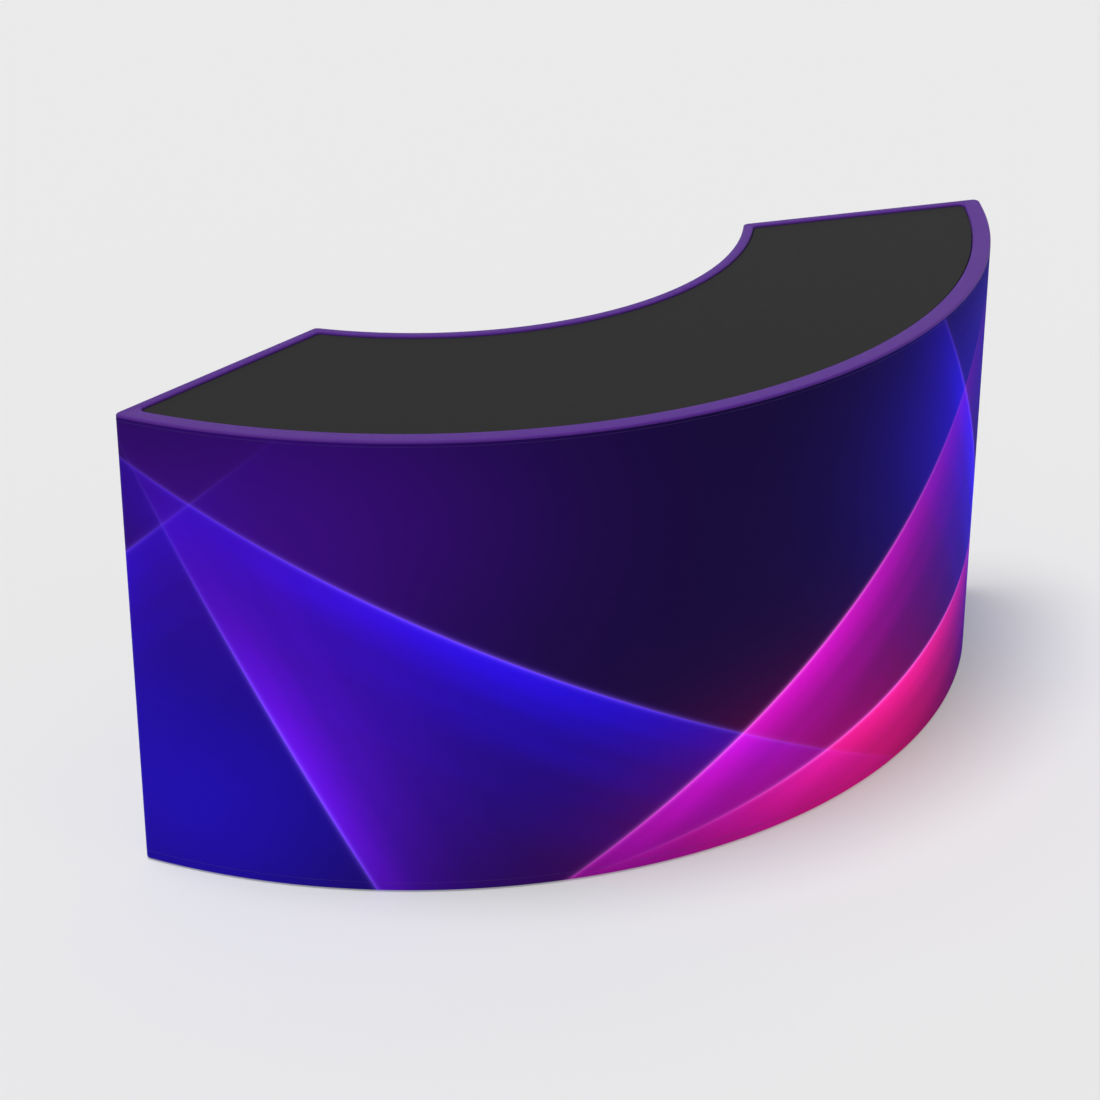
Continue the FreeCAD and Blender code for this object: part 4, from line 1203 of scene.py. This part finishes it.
tape_finish, tree, shader = new_material("woven_tape", Roughness=0.7, Specular_IOR_Level=0.3)
knitted(tree, shader, cloth_map(tree), TAPE_PURPLE, TAPE_PITCH, TAPE_RELIEF)
for piece in tapes:
    piece.data.materials.append(tape_finish)
print("tape finished")

# %% [markdown]
# ## Hard finishes
# The rest of the counter is metal, laminate and moulded plastic. All of these are one plain
# Principled shader each, with the grain group moving the colour, the roughness and the surface a
# little. What differs is how the grain is stretched: long streaks on drawn tube, fine dots on
# laminate, plastic and thread, soft patches on castings and zinc.


# %% Metal, nylon and thread
def grained(name, colour, stretch, shade=0.06, rough=(0.4, 0.6), relief=0.0, **settings):
    """A grained finish. Shade is how far the colour varies, rough the range of the roughness."""
    material, tree, shader = new_material(name, **settings)
    place = add_node(tree, "TexCoord").outputs["Object"]
    tone = use_group(tree, grain, Vector=place, Stretch=stretch, Low=1 - shade, High=1 + shade)
    wear = use_group(tree, grain, Vector=place, Stretch=stretch, Low=rough[0], High=rough[1])
    put(tree, shader.inputs["Base Color"], scaled_colour(tree, colour, tone["Value"]))
    put(tree, shader.inputs["Roughness"], wear["Value"])
    if relief:
        bumped(tree, shader, tone["Height"], relief)
    return material


ALUMINIUM = (0.74, 0.75, 0.76)
CAST_GREY = (0.48, 0.49, 0.50)
STEEL = (0.64, 0.64, 0.63)
NICKEL = (0.46, 0.46, 0.47)
BRASS = (0.60, 0.47, 0.24)
MARK_WHITE = (0.70, 0.70, 0.68)
BLACK = (0.016, 0.016, 0.017)
RUBBER_BLACK = (0.022, 0.022, 0.022)
COIL_PURPLE = (0.042, 0.016, 0.115)
THREAD_PURPLE = (0.075, 0.030, 0.200)

drawn_level = grained("drawn_rail", ALUMINIUM, (3, 3, 700), 0.07, (0.28, 0.42), Metallic=1.0)
drawn_upright = grained("drawn_upright", ALUMINIUM, (700, 700, 3), 0.07, (0.28, 0.42), Metallic=1.0)
cast_alloy = grained("cast_alloy", CAST_GREY, (420, 420, 420), 0.10, (0.45, 0.65), 0.00015, Metallic=1.0)
zinc_steel = grained("zinc_steel", STEEL, (90, 90, 90), 0.16, (0.30, 0.50), Metallic=1.0)
bright_steel = grained("bright_steel", STEEL, (300, 300, 300), 0.05, (0.16, 0.28), Metallic=1.0)
nickel = grained("nickel_plate", NICKEL, (500, 500, 500), 0.05, (0.18, 0.30), Metallic=1.0)
blade_brass = grained("blade_brass", BRASS, (400, 400, 400), 0.05, (0.24, 0.36), Metallic=1.0)
mark_white = grained("mark_white", MARK_WHITE, (900, 900, 900), 0.04, (0.45, 0.55))
foot_nylon = grained("foot_nylon", BLACK, (260, 260, 260), 0.15, (0.42, 0.58), 0.00005)
pad_rubber = grained("pad_rubber", RUBBER_BLACK, (160, 160, 160), 0.20, (0.75, 0.90), 0.0001)
coil_nylon = grained("coil_nylon", COIL_PURPLE, (400, 400, 400), 0.10, (0.30, 0.42))
sewing_thread = grained("sewing_thread", THREAD_PURPLE, (2500, 2500, 2500), 0.20, (0.40, 0.55))
print(len(bpy.data.materials), "materials so far")

# %% Top, light and power finishes
LAMINATE_BLACK = (0.0165, 0.0165, 0.0170)
BOARD_WHITE = (0.72, 0.73, 0.71)
CASE_GREY = (0.30, 0.31, 0.32)
INLET_BLACK = (0.011, 0.011, 0.012)
ROCKER_BLACK = (0.020, 0.020, 0.021)
LENS_WHITE = (0.86, 0.86, 0.84)
LENS_LIGHT = (1.0, 0.96, 0.90, 1)
LENS_STRENGTH = 1.5

top_laminate = grained(
    "dark_laminate", LAMINATE_BLACK, (38, 38, 38), 0.16, (0.55, 0.70), 0.00006, Specular_IOR_Level=0.06
)
light_board = grained("light_board", BOARD_WHITE, (60, 60, 60), 0.04, (0.45, 0.60))
coated_case = grained("coated_case", CASE_GREY, (900, 900, 900), 0.08, (0.45, 0.60), 0.00012)
bezel_plastic = grained("bezel_plastic", BLACK, (1200, 1200, 1200), 0.12, (0.36, 0.50), 0.00004)
inlet_plastic = grained("inlet_plastic", INLET_BLACK, (500, 500, 500), 0.10, (0.30, 0.42))
rocker_plastic = grained("rocker_plastic", ROCKER_BLACK, (300, 300, 300), 0.08, (0.20, 0.30))
lens_glow = grained(
    "lens_glow", LENS_WHITE, (150, 150, 150), 0.04, (0.20, 0.30),
    Emission_Color=LENS_LIGHT, Emission_Strength=LENS_STRENGTH,
)
print(len(bpy.data.materials), "materials in all")

# %% Finishes on the CAD nodes
FINISHES = {
    "rail": drawn_level,
    "brace": drawn_level,
    "upright": drawn_upright,
    "connector": cast_alloy,
    "snap_button": bright_steel,
    "brace_plates": zinc_steel,
    "frame_screws": zinc_steel,
    "foot": foot_nylon,
    "countertop_pads": pad_rubber,
    "countertop_panel": top_laminate,
    "zip_slider": nickel,
    "zip_pull": nickel,
    "led_strips": light_board,
    "led_lenses": lens_glow,
    "power_box": coated_case,
    "power_bezel": bezel_plastic,
    "inlet_socket": inlet_plastic,
    "rocker_switch": rocker_plastic,
}
STANDS_FOR = {
    "front": "front_graphic",
    "right": "end_panel_right",
    "left": "end_panel_left",
    "rear": "rear_panel",
    "border": "top_border",
}


def finish_for(node):
    """The finish whose key is the longest one found in the node's name."""
    return FINISHES[max((key for key in FINISHES if key in node), key=len)]


covered = {"zip_tapes", "zip_chains", "button_springs", *STANDS_FOR.values()}
for name, node in frame["nodes"].items():
    if name not in covered:
        node.data.materials.clear()
        node.data.materials.append(finish_for(name))
print(len(frame["nodes"]) - len(covered), "nodes finished")

# %% Finishes on the new pieces
for piece in thread.values():
    piece.data.materials.append(sewing_thread)
coils.data.materials.append(coil_nylon)
stops.data.materials.append(nickel)
blades.data.materials.append(blade_brass)
for spring in springs:
    spring.data.materials.append(bright_steel)
marks.data.materials.append(mark_white)
guard.data.materials.append(plain_cloth)
print(len(thread) + len(springs), "stitchings and springs finished, and the zip and the power unit")

# %% [markdown]
# ## Softer edges on what the hand meets
# The CAD solids are exact and some of their edges are sharp. The small fittings of the back are seen
# from close by, so their edges get a narrow bevel. A CAD mesh is loose triangles, so a weld comes
# first, and the bevel only takes the edges that really turn.

# %% Bevels on the fittings
SOFT_EDGES = {
    "zip_slider": 0.0003,
    "zip_pull": 0.0003,
    "power_bezel": 0.0006,
    "inlet_socket": 0.0003,
    "rocker_switch": 0.0004,
}
WELD_DISTANCE = 0.00001
EDGE_ANGLE = math.radians(30)


def soften(node, width):
    """Welds a CAD mesh and bevels the edges that turn."""
    weld = node.modifiers.new("weld", "WELD")
    weld.merge_threshold = WELD_DISTANCE
    bevel = node.modifiers.new("soft_edges", "BEVEL")
    bevel.width = width
    bevel.segments = 2
    bevel.limit_method = "ANGLE"
    bevel.angle_limit = EDGE_ANGLE


for name, width in SOFT_EDGES.items():
    soften(frame["nodes"][name], width)
print("softened", list(SOFT_EDGES))

# %% [markdown]
# ## Which part carries what
# The marks ride on the rocker, and every other new piece on the frame. The springs ride there too.

# %% Ride and replace
pieces = list(cover.values()) + list(thread.values()) + tapes + springs + [guard, coils, stops, blades]
for piece in pieces:
    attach(piece, "frame")
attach(marks, "rocker_switch")
for side, node in STANDS_FOR.items():
    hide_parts(node)
for tape in tapes:
    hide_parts("zip_tapes")
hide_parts("zip_chains")
for spring, press, end in zip(springs, presses, bore_ends):
    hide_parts("button_springs")
    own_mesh(spring)
print(len(pieces), "pieces ride on the frame")

# %% Material slots, none set here
print("no material slots are set here")

# %% Length of the back cloth
REAR_CLOTH = lengths_along(plan_line(["rear"], 0, CORNER_RADIUS))[-1]
